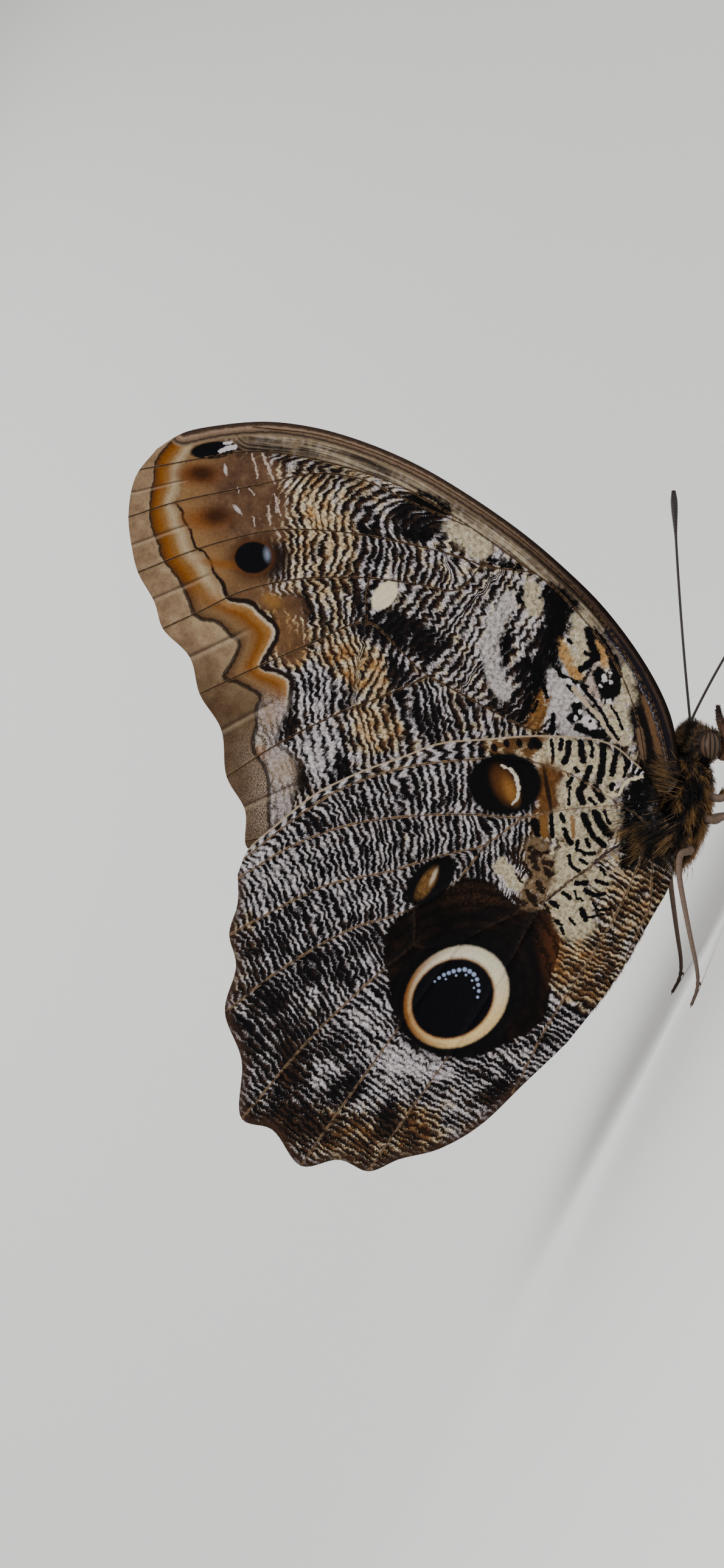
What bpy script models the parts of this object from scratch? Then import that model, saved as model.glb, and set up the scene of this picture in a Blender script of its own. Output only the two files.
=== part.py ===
"""An owl butterfly, life size, standing with its wings closed over its back.

Lengths are in millimetres until a mesh is made, which is in metres. Places are given from the middle
of the thorax, with +X towards the head and +Z up. The last step moves the whole animal so that the
origin lies on the floor, under the middle of its outline. Each right-hand piece lies at -Y, and the
left-hand one is its mirror image, apart from the feelers, which point different ways.
"""
import math

import bmesh
import bpy
import numpy as np
from mathutils import Vector
from mathutils.geometry import delaunay_2d_cdt

MM = 0.001
GAP = 0.3                 # clearance where two pieces meet
FLOOR = -11.3             # height of the floor, from the middle of the thorax

# The trunk: three lengths parted by thin cuts across the body.
THORAX_LENGTH = 7.4       # from the middle to each pole, before the ends are cut off
THORAX_POWER = 2.4        # above 2 the thorax is fuller than an ellipsoid
THORAX_WIDTH = 3.8
THORAX_TOP = 4.8
THORAX_BOTTOM = 4.5
THORAX_RISE = 0.15        # the thorax climbs this much for each millimetre towards the head
THORAX_BACK = -6.2
THORAX_FRONT = 6.3

ABDOMEN = ((-6.5, 1.9), (-9.0, 2.45), (-13.0, 2.6), (-18.0, 2.3), (-23.0, 1.55), (-26.2, 0.75), (-27.2, 0.3))
ABDOMEN_DROP = 0.05       # the abdomen's axis sinks this much for each millimetre behind the thorax
ABDOMEN_SEGMENT = 2.6
ABDOMEN_GROOVE = 0.12

HEAD_CENTRE = Vector((8.6, 0.0, 1.1))
HEAD_LENGTH = 2.3
HEAD_WIDTH = 2.2
HEAD_HEIGHT = 3.0
HEAD_POWER = 3.0
HEAD_BACK = 6.6

EYE_CENTRE = Vector((8.9, 1.75, -0.25))
EYE_RADII = Vector((1.65, 1.2, 1.3))
EYE_TILT = math.radians(26.6)     # the long axis of the eye rises towards the front

# The wings.
WING_THICKNESS = 0.5
WINGS_APART = 0.5         # between the inner faces of the two forewings, away from the body
VEIN_HEIGHT = 0.22        # of the ridge on the outer face
VEIN_HEIGHT_INSIDE = 0.1
HINDWING_OUTSIDE = 1.15   # the hindwing lies this far outside the forewing that it covers
BODY_CLEARANCE = 0.45
FLARE = 2.6               # how far the wings stand apart more where they pass beside the body
FLARE_START = 3.0
FLARE_END = 21.0
BODY_AXIS = ((6.0, 0.5), (-27.0, -1.0))

FOREWING_COSTA = (
    (4.7, 1.9), (10.1, 6.0), (14.4, 11.5), (18.2, 18.8), (20.6, 26.1), (22.2, 33.0), (23.4, 42.0),
    (23.7, 47.9), (23.3, 54.4), (22.2, 60.5), (20.2, 66.2), (17.1, 71.4), (14.3, 74.9))
FOREWING_MARGIN = (
    (11.1, 76.9), (6.9, 77.7), (2.3, 76.4), (-1.0, 74.3), (-3.5, 72.2), (-5.9, 68.7), (-8.3, 66.4),
    (-10.0, 61.8), (-13.5, 58.7), (-16.2, 54.4), (-21.1, 51.2), (-23.8, 47.3), (-27.8, 45.0))
FOREWING_INNER = ((-26.6, 42.4), (-19.5, 31.5), (-10.4, 17.6), (-3.6, 7.2), (-1.8, 4.2), (0.2, 2.6), (2.4, 1.6))
FOREWING_VEINS = {
    "costal": ((3.6, 2.8), (10.1, 8.3), (13.2, 12.5), (17.2, 19.3), (19.8, 26.6), (21.4, 33.2), (22.6, 42.0),
               (22.9, 48.0), (22.5, 54.2), (21.4, 60.3), (19.4, 65.9)),
    "radius": ((2.4, 5.4), (7.9, 9.4), (12.8, 14.8), (15.8, 20.5), (17.8, 26.1), (18.4, 29.8), (20.1, 41.1),
               (20.3, 49.6), (18.3, 60.3), (16.0, 66.4), (12.4, 71.6), (8.8, 76.4)),
    "media_1": ((19.7, 38.5), (19.2, 46.0), (19.0, 52.8), (17.0, 58.3), (12.6, 63.9), (6.2, 72.0), (2.3, 76.0)),
    "media_2": ((18.1, 29.0), (16.4, 34.1), (15.6, 39.1), (13.5, 47.8), (11.4, 53.9), (8.8, 59.2), (5.6, 63.4),
                (1.5, 67.7), (-3.2, 71.9)),
    "media_3": ((16.0, 34.8), (12.1, 36.1), (10.7, 40.4), (8.6, 46.4), (6.3, 51.2), (3.6, 55.6), (-0.2, 60.0),
                (-4.1, 63.0), (-8.0, 66.1)),
    "cell_end": ((8.6, 46.4), (6.1, 45.6), (3.6, 44.3)),
    "cubitus_1": ((1.0, 5.6), (0.9, 12.0), (1.0, 19.0), (0.7, 22.1), (0.9, 28.6), (1.3, 35.8), (2.7, 39.9),
                  (3.6, 44.3), (-1.4, 48.9), (-7.4, 53.9), (-13.2, 58.5)),
    "cubitus_2": ((1.2, 34.4), (-2.7, 37.6), (-8.4, 42.7), (-14.9, 47.5), (-20.8, 51.0)),
    "anal": ((-0.6, 5.2), (-5.2, 13.5), (-12.8, 25.6), (-19.8, 36.2), (-26.4, 44.6)),
}

HINDWING_COSTA = (
    (2.6, 6.4), (3.6, 11.0), (1.1, 18.2), (-2.6, 24.7), (-5.8, 29.8), (-9.3, 33.1), (-12.7, 36.4),
    (-18.0, 40.5), (-24.0, 43.3), (-27.8, 44.8))
HINDWING_MARGIN = (
    (-31.2, 44.6), (-34.5, 43.0), (-38.2, 42.3), (-41.3, 39.8), (-47.0, 38.5), (-51.4, 34.0),
    (-57.9, 30.7), (-57.4, 26.8), (-59.8, 21.6), (-57.0, 17.7), (-56.7, 13.9), (-53.7, 11.2), (-50.4, 7.4),
    (-45.4, 4.1), (-38.2, 1.6))
HINDWING_INNER = ((-31.5, -0.7), (-23.1, -2.35), (-12.7, -3.15), (-9.0, -3.3), (-6.0, -2.6), (-3.0, -0.8),
                  (-1.0, 2.0), (0.9, 3.4))
HINDWING_VEINS = {
    "radial": ((-3.6, 1.0), (-2.7, 5.0), (-2.3, 9.2), (-2.0, 14.1), (-3.0, 19.5), (-5.2, 24.2), (-8.8, 30.1),
               (-11.8, 33.9), (-16.0, 37.8), (-20.8, 40.8), (-27.9, 44.2)),
    "media_1": ((-2.8, 6.8), (-5.5, 11.3), (-7.5, 14.1), (-9.4, 16.6), (-12.0, 22.7), (-15.6, 29.3),
                (-19.6, 35.0), (-24.7, 39.9), (-31.2, 44.1)),
    "media_2": ((-9.0, 16.2), (-11.6, 17.6), (-14.4, 19.1), (-17.9, 23.2), (-22.7, 28.3), (-27.5, 34.2),
                (-34.0, 39.2), (-37.9, 41.9)),
    "media_3": ((-14.0, 18.9), (-20.0, 20.3), (-25.6, 23.7), (-30.7, 28.9), (-36.2, 32.8), (-40.7, 35.4),
                (-46.7, 38.2)),
    "cell_end": ((-25.2, 23.4), (-27.1, 22.3), (-29.2, 21.1), (-28.2, 18.6), (-26.5, 16.3)),
    "cubitus_1": ((-29.0, 21.2), (-32.2, 22.7), (-37.2, 24.8), (-43.1, 26.9), (-47.8, 28.3), (-57.5, 30.6)),
    "cubitus_2": ((-4.8, 2.6), (-10.1, 5.9), (-14.1, 8.1), (-18.1, 10.2), (-21.3, 12.8), (-26.5, 16.3),
                  (-29.8, 16.9), (-34.2, 17.6), (-40.0, 18.6), (-50.0, 20.2), (-59.4, 21.6)),
    "anal_1": ((-16.6, 9.4), (-21.7, 9.9), (-27.3, 10.1), (-35.6, 10.9), (-46.0, 12.4), (-56.3, 13.9)),
    "anal_2": ((-5.2, 1.5), (-13.1, 1.0), (-20.0, 1.3), (-30.5, 2.4), (-38.6, 2.4)),
    "anal_3": ((-5.4, 0.6), (-9.8, -1.3), (-12.0, -2.2), (-17.5, -2.4)),
}
VEIN_BASE_HALF_WIDTH = 0.55
VEIN_END_HALF_WIDTH = 0.3
FOREWING_ROOT = Vector((1.5, 5.0))
HINDWING_ROOT = Vector((-4.0, 1.0))
WING_REACH = 62.0         # from a wing's root to the end of its longest vein
COARSE_FILL = 5.5         # spacing of the mesh points between veins, and beside the body
FINE_FILL = 2.2
FINE_ZONE = 11.0

# The legs, as joints (forward, sideways, up) and the radius at each. The front pair is folded up.
MIDLEG_ROOT = (0.7, 30.0)          # place along the thorax, and degrees round from straight below
MIDLEG = (((1.7, 5.6, -5.1), 0.42), ((4.6, 9.7, -10.2), 0.34), ((5.9, 10.6, -11.12), 0.27),
          ((9.2, 12.6, -11.14), 0.24))
HINDLEG_ROOT = (-3.6, 48.0)
HINDLEG = (((-5.0, 5.5, -1.9), 0.45), ((-12.6, 8.6, -7.3), 0.36), ((-17.6, 10.9, -11.1), 0.27),
           ((-20.4, 12.6, -11.14), 0.24))
FORELEG_ROOT = (3.4, 24.0)
FORELEG = (((5.7, 2.0, -5.3), 0.42), ((7.6, 1.95, -5.0), 0.36), ((9.3, 1.6, -4.4), 0.24))
HIP_BEND = 1.3            # how far a leg runs straight out before it turns to its first joint
HIP_STEPS = 5
HIP_RADIUS = 0.55
JOINT_BEND = 0.9
JOINT_SWELL = 1.12

# The mouth parts and feelers.
PALP = (((8.0, 1.15, -2.25), 0.42), ((9.5, 1.1, -2.3), 0.54), ((11.3, 1.08, -1.15), 0.56),
        ((12.5, 0.95, 0.1), 0.42), ((13.7, 0.85, 0.9), 0.14))
COIL_CENTRE = (8.9, -3.35)
COIL_RADII = (1.0, 0.3)
COIL_TURNS = 1.3
COIL_TUBE = 0.2
FEELER_LENGTH = 31.0
FEELER_RADIUS = 0.26
CLUB_RADIUS = 0.55
CLUB_LENGTH = 7.0
FEELERS = {
    "antenna_right": {"side": -1.0, "rise": 3.0, "bend": -0.55, "splay": 21.0},
    "antenna_left": {"side": 1.0, "rise": 28.5, "bend": -0.1, "splay": 22.0},
}

COLOURS = {
    "head": (0.10, 0.07, 0.05), "thorax": (0.12, 0.08, 0.05), "abdomen": (0.20, 0.14, 0.09),
    "eye": (0.16, 0.09, 0.05), "antenna": (0.03, 0.025, 0.02), "palp": (0.30, 0.19, 0.12),
    "proboscis": (0.12, 0.06, 0.03), "forewing": (0.38, 0.32, 0.26), "hindwing": (0.42, 0.35, 0.26),
    "foreleg": (0.35, 0.22, 0.10), "midleg": (0.38, 0.27, 0.22), "hindleg": (0.38, 0.27, 0.22),
}
ROUGHNESS = {"eye": 0.25, "antenna": 0.45, "proboscis": 0.4, "midleg": 0.5, "hindleg": 0.5}


def clear_scene():
    for old in list(bpy.data.objects):
        bpy.data.objects.remove(old)


def spline(points, step):
    """Points about one step apart on a smooth curve through the given ones (centripetal Catmull-Rom)."""
    given = [np.array(p, float) for p in points]
    ends = [2 * given[0] - given[1]] + given + [2 * given[-1] - given[-2]]
    curve = []
    for p0, p1, p2, p3 in zip(ends, ends[1:], ends[2:], ends[3:]):
        t0 = 0.0
        t1 = t0 + math.sqrt(np.linalg.norm(p1 - p0))
        t2 = t1 + math.sqrt(np.linalg.norm(p2 - p1))
        t3 = t2 + math.sqrt(np.linalg.norm(p3 - p2))
        pieces = max(1, round(np.linalg.norm(p2 - p1) / step))
        for k in range(pieces):
            t = t1 + (t2 - t1) * k / pieces
            a1 = (t1 - t) / (t1 - t0) * p0 + (t - t0) / (t1 - t0) * p1
            a2 = (t2 - t) / (t2 - t1) * p1 + (t - t1) / (t2 - t1) * p2
            a3 = (t3 - t) / (t3 - t2) * p2 + (t - t2) / (t3 - t2) * p3
            b1 = (t2 - t) / (t2 - t0) * a1 + (t - t0) / (t2 - t0) * a2
            b2 = (t3 - t) / (t3 - t1) * a2 + (t - t1) / (t3 - t1) * a3
            curve.append((t2 - t) / (t2 - t1) * b1 + (t - t1) / (t2 - t1) * b2)
    curve.append(given[-1])
    return curve


def smooth_step(low, high, value):
    t = min(1.0, max(0.0, (value - low) / (high - low)))
    return t * t * (3 - 2 * t)


def smooth_max(a, b, softness=0.5):
    """Never below the larger of the two, and rounded where they cross."""
    return 0.5 * (a + b + math.sqrt((a - b) ** 2 + softness ** 2))


def material(kind):
    """The finish of a sub-part, named after it and shared by its left and right copies."""
    found = bpy.data.materials.get(kind)
    if found:
        return found
    made = bpy.data.materials.new(kind)
    made.use_nodes = True
    shader = made.node_tree.nodes["Principled BSDF"]
    shader.inputs["Base Color"].default_value = (*COLOURS[kind], 1.0)
    shader.inputs["Roughness"].default_value = ROUGHNESS.get(kind, 0.85)
    shader.inputs["Metallic"].default_value = 0.0
    return made


def add_object(name, points, faces):
    """A mesh object in metres, with its faces turned outward."""
    mesh = bpy.data.meshes.new(name)
    mesh.from_pydata([Vector(p) * MM for p in points], [], faces)
    shape = bmesh.new()
    shape.from_mesh(mesh)
    bmesh.ops.recalc_face_normals(shape, faces=shape.faces)
    shape.to_mesh(mesh)
    shape.free()
    mesh.shade_smooth()
    mesh.set_sharp_from_angle(angle=math.radians(50))
    mesh.materials.append(material(name.split("_")[0]))
    made = bpy.data.objects.new(name, mesh)
    bpy.context.scene.collection.objects.link(made)
    return made


def add_rings(name, rings):
    """A closed body through rings of equally many points, with a flat or pointed cap on each end."""
    sides = len(rings[0])
    points = [p for ring in rings for p in ring]
    faces = []
    for r in range(len(rings) - 1):
        for k in range(sides):
            here, after = r * sides + k, r * sides + (k + 1) % sides
            faces.append((here, after, after + sides, here + sides))
    faces.append(tuple(range(sides)))
    faces.append(tuple(range((len(rings) - 1) * sides, len(rings) * sides)))
    return add_object(name, points, faces)


def add_tube(name, path, radii, sides=8, flatten=1.0):
    """A tapering tube along a path. Its rings keep one side level, and flatten narrows it sideways."""
    path = [Vector(p) for p in path]
    rings = []
    for i, centre in enumerate(path):
        ahead = path[min(i + 1, len(path) - 1)] - path[max(i - 1, 0)]
        ahead.normalize()
        across = ahead.cross(Vector((0, 0, 1)))
        if across.length < 0.05:
            across = Vector((0, 1, 0))
        across.normalize()
        up = across.cross(ahead)
        ring = []
        for k in range(sides):
            turn = 2 * math.pi * (k + 0.5) / sides
            ring.append(centre + radii[i] * (flatten * math.cos(turn) * across + math.sin(turn) * up))
        rings.append(ring)
    return add_rings(name, rings)


def thorax_scale(x):
    return math.sqrt(max(0.0, 1 - (abs(x) / THORAX_LENGTH) ** THORAX_POWER))


def thorax_ring(x, sides):
    ring = []
    for k in range(sides):
        turn = 2 * math.pi * k / sides
        height = THORAX_TOP if math.sin(turn) > 0 else THORAX_BOTTOM
        ring.append((x, THORAX_WIDTH * thorax_scale(x) * math.cos(turn),
                     THORAX_RISE * x + height * thorax_scale(x) * math.sin(turn)))
    return ring


def abdomen_radius(x):
    places = [p[0] for p in reversed(ABDOMEN)]
    radii = [p[1] for p in reversed(ABDOMEN)]
    return float(np.interp(x, places, radii, left=0.0, right=0.0))


def abdomen_axis(x):
    return THORAX_RISE * THORAX_BACK * 0.4 + ABDOMEN_DROP * (x - THORAX_BACK)


def body_half_width(x, z):
    """Half the width of the thorax or abdomen where a wing passes beside it, or 0 clear of them."""
    thorax = abdomen = 0.0
    if THORAX_BACK <= x <= THORAX_FRONT:
        rise = z - THORAX_RISE * x
        height = (THORAX_TOP if rise > 0 else THORAX_BOTTOM) * thorax_scale(x)
        thorax = THORAX_WIDTH * thorax_scale(x) * math.sqrt(max(0.0, 1 - (rise / height) ** 2))
    radius = abdomen_radius(x)
    if radius:
        abdomen = math.sqrt(max(0.0, radius ** 2 - (z - abdomen_axis(x)) ** 2))
    return max(thorax, abdomen)


def distance_to_body(x, z):
    start, end = (np.array(p) for p in BODY_AXIS)
    along = np.clip(np.dot((x, z) - start, end - start) / np.dot(end - start, end - start), 0, 1)
    return float(np.linalg.norm((x, z) - (start + along * (end - start))))


def forewing_side(x, z):
    """How far outward the middle of the forewing lies."""
    flat = WINGS_APART / 2 + WING_THICKNESS / 2
    flare = FLARE * (1 - smooth_step(FLARE_START, FLARE_END, distance_to_body(x, z)))
    beside_body = body_half_width(x, z) + BODY_CLEARANCE + WING_THICKNESS / 2
    return smooth_max(flat + flare, beside_body)


def hindwing_side(x, z):
    """As the forewing, and further out where it covers the forewing's inner margin."""
    start, end = np.array(FOREWING_INNER[4]), np.array(FOREWING_INNER[0])
    along = (end - start) / np.linalg.norm(end - start)
    over = (x - start[0]) * along[1] - (z - start[1]) * along[0]
    return forewing_side(x, z) + HINDWING_OUTSIDE * smooth_step(-4.5, -0.9, over)


def distance_along(point, line):
    """Distance from a point to a line of points."""
    starts, ends = line[:-1], line[1:]
    spans = ends - starts
    t = np.clip(np.sum((point - starts) * spans, axis=1) / np.sum(spans * spans, axis=1), 0, 1)
    return float(np.min(np.linalg.norm(starts + t[:, None] * spans - point, axis=1)))


def inside(point, loop):
    x, z = point
    count = 0
    for (x0, z0), (x1, z1) in zip(loop, np.roll(loop, -1, axis=0)):
        if (z0 > z) != (z1 > z) and x < x0 + (z - z0) / (z1 - z0) * (x1 - x0):
            count += 1
    return count % 2 == 1


def vein_half_width(point, root):
    reach = min(1.0, (Vector(point) - root).length / WING_REACH)
    return VEIN_BASE_HALF_WIDTH + (VEIN_END_HALF_WIDTH - VEIN_BASE_HALF_WIDTH) * reach


def vein_relief(point, lines, root):
    """The height of the veins at a point, from 0 on the membrane to 1 on a crest."""
    nearest = min(distance_along(point, line) for line in lines)
    return max(0.0, 1 - nearest / vein_half_width(point, root))


def fill_points(loop, lines):
    """Mesh points on the open membrane: close together beside the body and wide apart elsewhere."""
    closed = np.vstack([loop, loop[:1]])
    low, high = loop.min(axis=0), loop.max(axis=0)
    found = []
    for spacing, fine in ((FINE_FILL, True), (COARSE_FILL, False)):
        row_height = spacing * math.sqrt(3) / 2
        for row in range(int((high[1] - low[1]) / row_height) + 1):
            for column in range(int((high[0] - low[0]) / spacing) + 1):
                point = low + ((column + 0.5 * (row % 2)) * spacing, row * row_height)
                near_body = distance_to_body(*point) < FINE_ZONE
                if near_body != fine or not inside(point, loop):
                    continue
                clear = min([distance_along(point, closed)] + [distance_along(point, line) for line in lines])
                if clear > 0.42 * spacing:
                    found.append(point)
    return found


def vein_strip(line, root):
    """The crest of a vein and its two feet, which close to a point at the tip."""
    left, right = [], []
    for i, point in enumerate(line):
        ahead = line[min(i + 1, len(line) - 1)] - line[max(i - 1, 0)]
        sideways = np.array((-ahead[1], ahead[0])) / np.linalg.norm(ahead)
        width = vein_half_width(point, root) if i < len(line) - 1 else 0.0
        left.append(point + width * sideways)
        right.append(point - width * sideways)
    return left, right


def wing_triangles(loop, lines, root):
    """Triangles over the wing's outline, with an edge along every crest and foot of its veins."""
    points = [Vector(p) for p in loop]
    edges = []
    for line in lines:
        left, right = vein_strip(line, root)
        for strand in (left, list(line), right[:-1] + [left[-1]]):
            first = len(points)
            points += [Vector(p) for p in strand]
            edges += [(first + k, first + k + 1) for k in range(len(strand) - 1)]
    points += [Vector(p) for p in fill_points(loop, lines)]
    outline = list(range(len(loop)))
    made = delaunay_2d_cdt(points, edges, [outline], 1, 0.02)
    return [tuple(p) for p in made[0]], [tuple(f) for f in made[2]]


def rim_edges(triangles):
    """The directed edges that only one triangle has."""
    directed = {(f[k], f[(k + 1) % 3]) for f in triangles for k in range(3)}
    return [(a, b) for a, b in sorted(directed) if (b, a) not in directed]


def add_wing(name, costa, margin, inner, veins, root, side_of):
    """A thin vane whose two faces are split into triangles alike, with the veins raised on each."""
    loop = spline(costa + margin[:1], 2.6)[:-1] + spline(margin + inner[:1], 2.0)[:-1]
    loop = np.array(loop + spline(inner + costa[:1], 2.6)[:-1])
    lines = [np.array(spline(points, 3.6)) for points in veins.values()]
    flat, triangles = wing_triangles(loop, lines, root)
    used = sorted({k for f in triangles for k in f})
    order = {old: new for new, old in enumerate(used)}
    triangles = [tuple(order[k] for k in f) for f in triangles]
    outside, within = [], []
    for x, z in (flat[k] for k in used):
        relief = vein_relief(np.array((x, z)), lines, root)
        middle = side_of(x, z)
        outside.append((x, -(middle + WING_THICKNESS / 2 + VEIN_HEIGHT * relief), z))
        within.append((x, -(middle - WING_THICKNESS / 2 - VEIN_HEIGHT_INSIDE * relief), z))
    count = len(used)
    faces = list(triangles)
    faces += [tuple(count + k for k in reversed(f)) for f in triangles]
    for a, b in rim_edges(triangles):
        faces.append((b, a, count + a))
        faces.append((b, count + a, count + b))
    right = add_object(name + "_right", outside + within, faces)
    add_mirrored(right, name + "_left")
    return right


def add_mirrored(right, name):
    """The left-hand copy of a right-hand piece."""
    mesh = right.data.copy()
    mesh.name = name
    for vertex in mesh.vertices:
        vertex.co.y = -vertex.co.y
    mesh.flip_normals()
    made = bpy.data.objects.new(name, mesh)
    bpy.context.scene.collection.objects.link(made)
    return made


def add_thorax():
    places = np.linspace(THORAX_BACK, THORAX_FRONT, 17)
    return add_rings("thorax", [thorax_ring(x, 24) for x in places])


def add_abdomen():
    """A spindle with a shallow groove between its segments."""
    places = np.linspace(ABDOMEN[0][0], ABDOMEN[-1][0], 33)
    rings = []
    for x in places:
        groove = ABDOMEN_GROOVE * math.cos(math.pi * (x - ABDOMEN[0][0]) / ABDOMEN_SEGMENT) ** 8
        radius = abdomen_radius(x) * (1 - groove)
        ring = []
        for k in range(16):
            turn = 2 * math.pi * k / 16
            ring.append((x, radius * math.cos(turn), abdomen_axis(x) + radius * math.sin(turn)))
        rings.append(ring)
    return add_rings("abdomen", rings)


def eye_points(grow, side):
    """A rounded eye, wider along its tilted long axis, or its socket where grow is above 0."""
    points = []
    rings, sides = 11, 16
    for r in range(rings):
        polar = math.pi * (r + 0.5) / rings
        ring = []
        for k in range(sides):
            turn = 2 * math.pi * k / sides
            out = (EYE_RADII.y + grow) * math.cos(polar)
            long = (EYE_RADII.x + grow) * math.sin(polar) * math.cos(turn)
            wide = (EYE_RADII.z + grow) * math.sin(polar) * math.sin(turn)
            ring.append((EYE_CENTRE.x + long * math.cos(EYE_TILT) - wide * math.sin(EYE_TILT),
                         side * (EYE_CENTRE.y + out),
                         EYE_CENTRE.z + long * math.sin(EYE_TILT) + wide * math.cos(EYE_TILT)))
        points.append(ring)
    return points


def head_scale(x):
    return math.sqrt(max(0.0, 1 - (abs(x - HEAD_CENTRE.x) / HEAD_LENGTH) ** HEAD_POWER))


def add_head():
    """A rounded head with a neck cut flat behind and a cup for each eye."""
    first = math.acos((HEAD_CENTRE.x - HEAD_BACK) / HEAD_LENGTH)
    rings = []
    for turn in np.linspace(first, math.pi * 0.965, 17):
        x = HEAD_CENTRE.x - HEAD_LENGTH * math.cos(turn)
        ring = []
        for k in range(20):
            round_turn = 2 * math.pi * k / 20
            ring.append((x, HEAD_WIDTH * head_scale(x) * math.cos(round_turn),
                         HEAD_CENTRE.z + HEAD_HEIGHT * head_scale(x) * math.sin(round_turn)))
        rings.append(ring)
    head = add_rings("head", rings)
    for side in (-1, 1):
        cutter = add_rings("eye_socket", eye_points(GAP, side))
        cutter.hide_render = True
        cutter.display_type = "WIRE"
        cut = head.modifiers.new("socket", "BOOLEAN")
        cut.operation = "DIFFERENCE"
        cut.object = cutter
    return head


def add_eyes():
    right = add_rings("eye_right", eye_points(0.0, -1))
    add_mirrored(right, "eye_left")


def thorax_root(place):
    """A point just clear of the thorax and the way straight out from there."""
    x, degrees = place
    turn = math.radians(degrees)
    width, height = THORAX_WIDTH * thorax_scale(x), THORAX_BOTTOM * thorax_scale(x)
    point = Vector((x, width * math.sin(turn), THORAX_RISE * x - height * math.cos(turn)))
    out = Vector((0.0, math.sin(turn) / width, -math.cos(turn) / height)).normalized()
    return point + GAP * out, out


def leg_path(start, out, joints, radii):
    """From the hip in an even curve to the first joint, then three rings at each joint but the last."""
    hip, knee = start + HIP_BEND * out, joints[0]
    path, widths = [], []
    for k in range(HIP_STEPS):
        t = k / HIP_STEPS
        path.append((1 - t) ** 2 * start + 2 * t * (1 - t) * hip + t ** 2 * knee)
        widths.append(HIP_RADIUS + (radii[0] - HIP_RADIUS) * t)
    corners = [hip] + joints
    for i in range(1, len(corners) - 1):
        before = (corners[i - 1] - corners[i])
        after = (corners[i + 1] - corners[i])
        reach = min(JOINT_BEND, 0.4 * before.length, 0.4 * after.length)
        if i > 1:
            path.append(corners[i] + reach * before.normalized())
            widths.append(radii[i - 1])
        path.append(corners[i] + 0.22 * reach * (before.normalized() + after.normalized()))
        widths.append(radii[i - 1] * JOINT_SWELL)
        path.append(corners[i] + reach * after.normalized())
        widths.append(radii[i - 1] * 0.96)
    path.append(corners[-1])
    widths.append(radii[-1])
    return path, widths


def add_leg(name, place, joints):
    """Hip, knee, ankle and foot. What would reach below the floor is pressed flat on it."""
    start, out = thorax_root(place)
    path, widths = leg_path(start, out, [Vector(p) for p, _ in joints], [r for _, r in joints])
    for point in path:
        point.y = -point.y
    right = add_tube(name + "_right", path, widths)
    for vertex in right.data.vertices:
        vertex.co.z = max(vertex.co.z, FLOOR * MM)
    add_mirrored(right, name + "_left")


def add_palps():
    path = [Vector((p[0], -p[1], p[2])) for p in spline([p for p, _ in PALP], 1.0)]
    along = np.linspace(0, 1, len(path))
    radii = np.interp(along, np.linspace(0, 1, len(PALP)), [r for _, r in PALP]).tolist()
    right = add_tube("palp_right", path, radii, flatten=0.85)
    add_mirrored(right, "palp_left")


def add_proboscis():
    """The tongue, rolled up like a watch spring between the palps."""
    steps = 20
    path, radii = [], []
    for k in range(steps + 1):
        t = k / steps
        turn = math.pi * 0.55 + 2 * math.pi * COIL_TURNS * t
        reach = COIL_RADII[0] + (COIL_RADII[1] - COIL_RADII[0]) * t
        path.append(Vector((COIL_CENTRE[0] + reach * math.cos(turn), 0.0,
                            COIL_CENTRE[1] + reach * math.sin(turn))))
        radii.append(COIL_TUBE * (1 - 0.35 * t))
    rings = []
    for i, centre in enumerate(path):
        ahead = (path[min(i + 1, steps)] - path[max(i - 1, 0)]).normalized()
        across = Vector((0, 1, 0))
        up = across.cross(ahead)
        rings.append([centre + radii[i] * (math.cos(a) * across + math.sin(a) * up)
                      for a in (2 * math.pi * k / 6 for k in range(6))])
    return add_rings("proboscis", rings)


def add_feeler(name, side, rise, bend, splay):
    """A thin shaft that rises from the head and swells to a slender club."""
    steps = 22
    direction_up = math.radians(rise)
    way_out = Vector((math.cos(math.radians(38)), side * 0.28, math.sin(math.radians(38)))).normalized()
    surface = Vector((HEAD_LENGTH * way_out.x, HEAD_WIDTH * way_out.y, HEAD_HEIGHT * way_out.z))
    start = HEAD_CENTRE + 1.06 * surface + GAP * way_out
    path, radii = [start], [FEELER_RADIUS * 1.5]
    spread = math.radians(splay) * side
    for k in range(1, steps + 1):
        t = k / steps
        slope = direction_up + math.radians(bend) * FEELER_LENGTH * t
        ahead = Vector((math.cos(slope) * math.cos(spread), math.cos(slope) * math.sin(spread), math.sin(slope)))
        path.append(path[-1] + ahead * FEELER_LENGTH / steps)
        from_tip = FEELER_LENGTH * (1 - t)
        club = smooth_step(CLUB_LENGTH, 1.5, from_tip)
        radius = FEELER_RADIUS + (CLUB_RADIUS - FEELER_RADIUS) * club
        radii.append(radius if k < steps else 0.2)
    return add_tube(name, path, radii, sides=8)


def stand_on_origin():
    """Moves the animal so that the origin is on the floor, under the middle of its outline."""
    shown = [o for o in bpy.data.objects if o.type == "MESH"]
    places = [v.co for o in shown for v in o.data.vertices]
    middle = (min(p.x for p in places) + max(p.x for p in places)) / 2
    for piece in shown:
        for vertex in piece.data.vertices:
            vertex.co -= Vector((middle, 0.0, FLOOR * MM))


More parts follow.
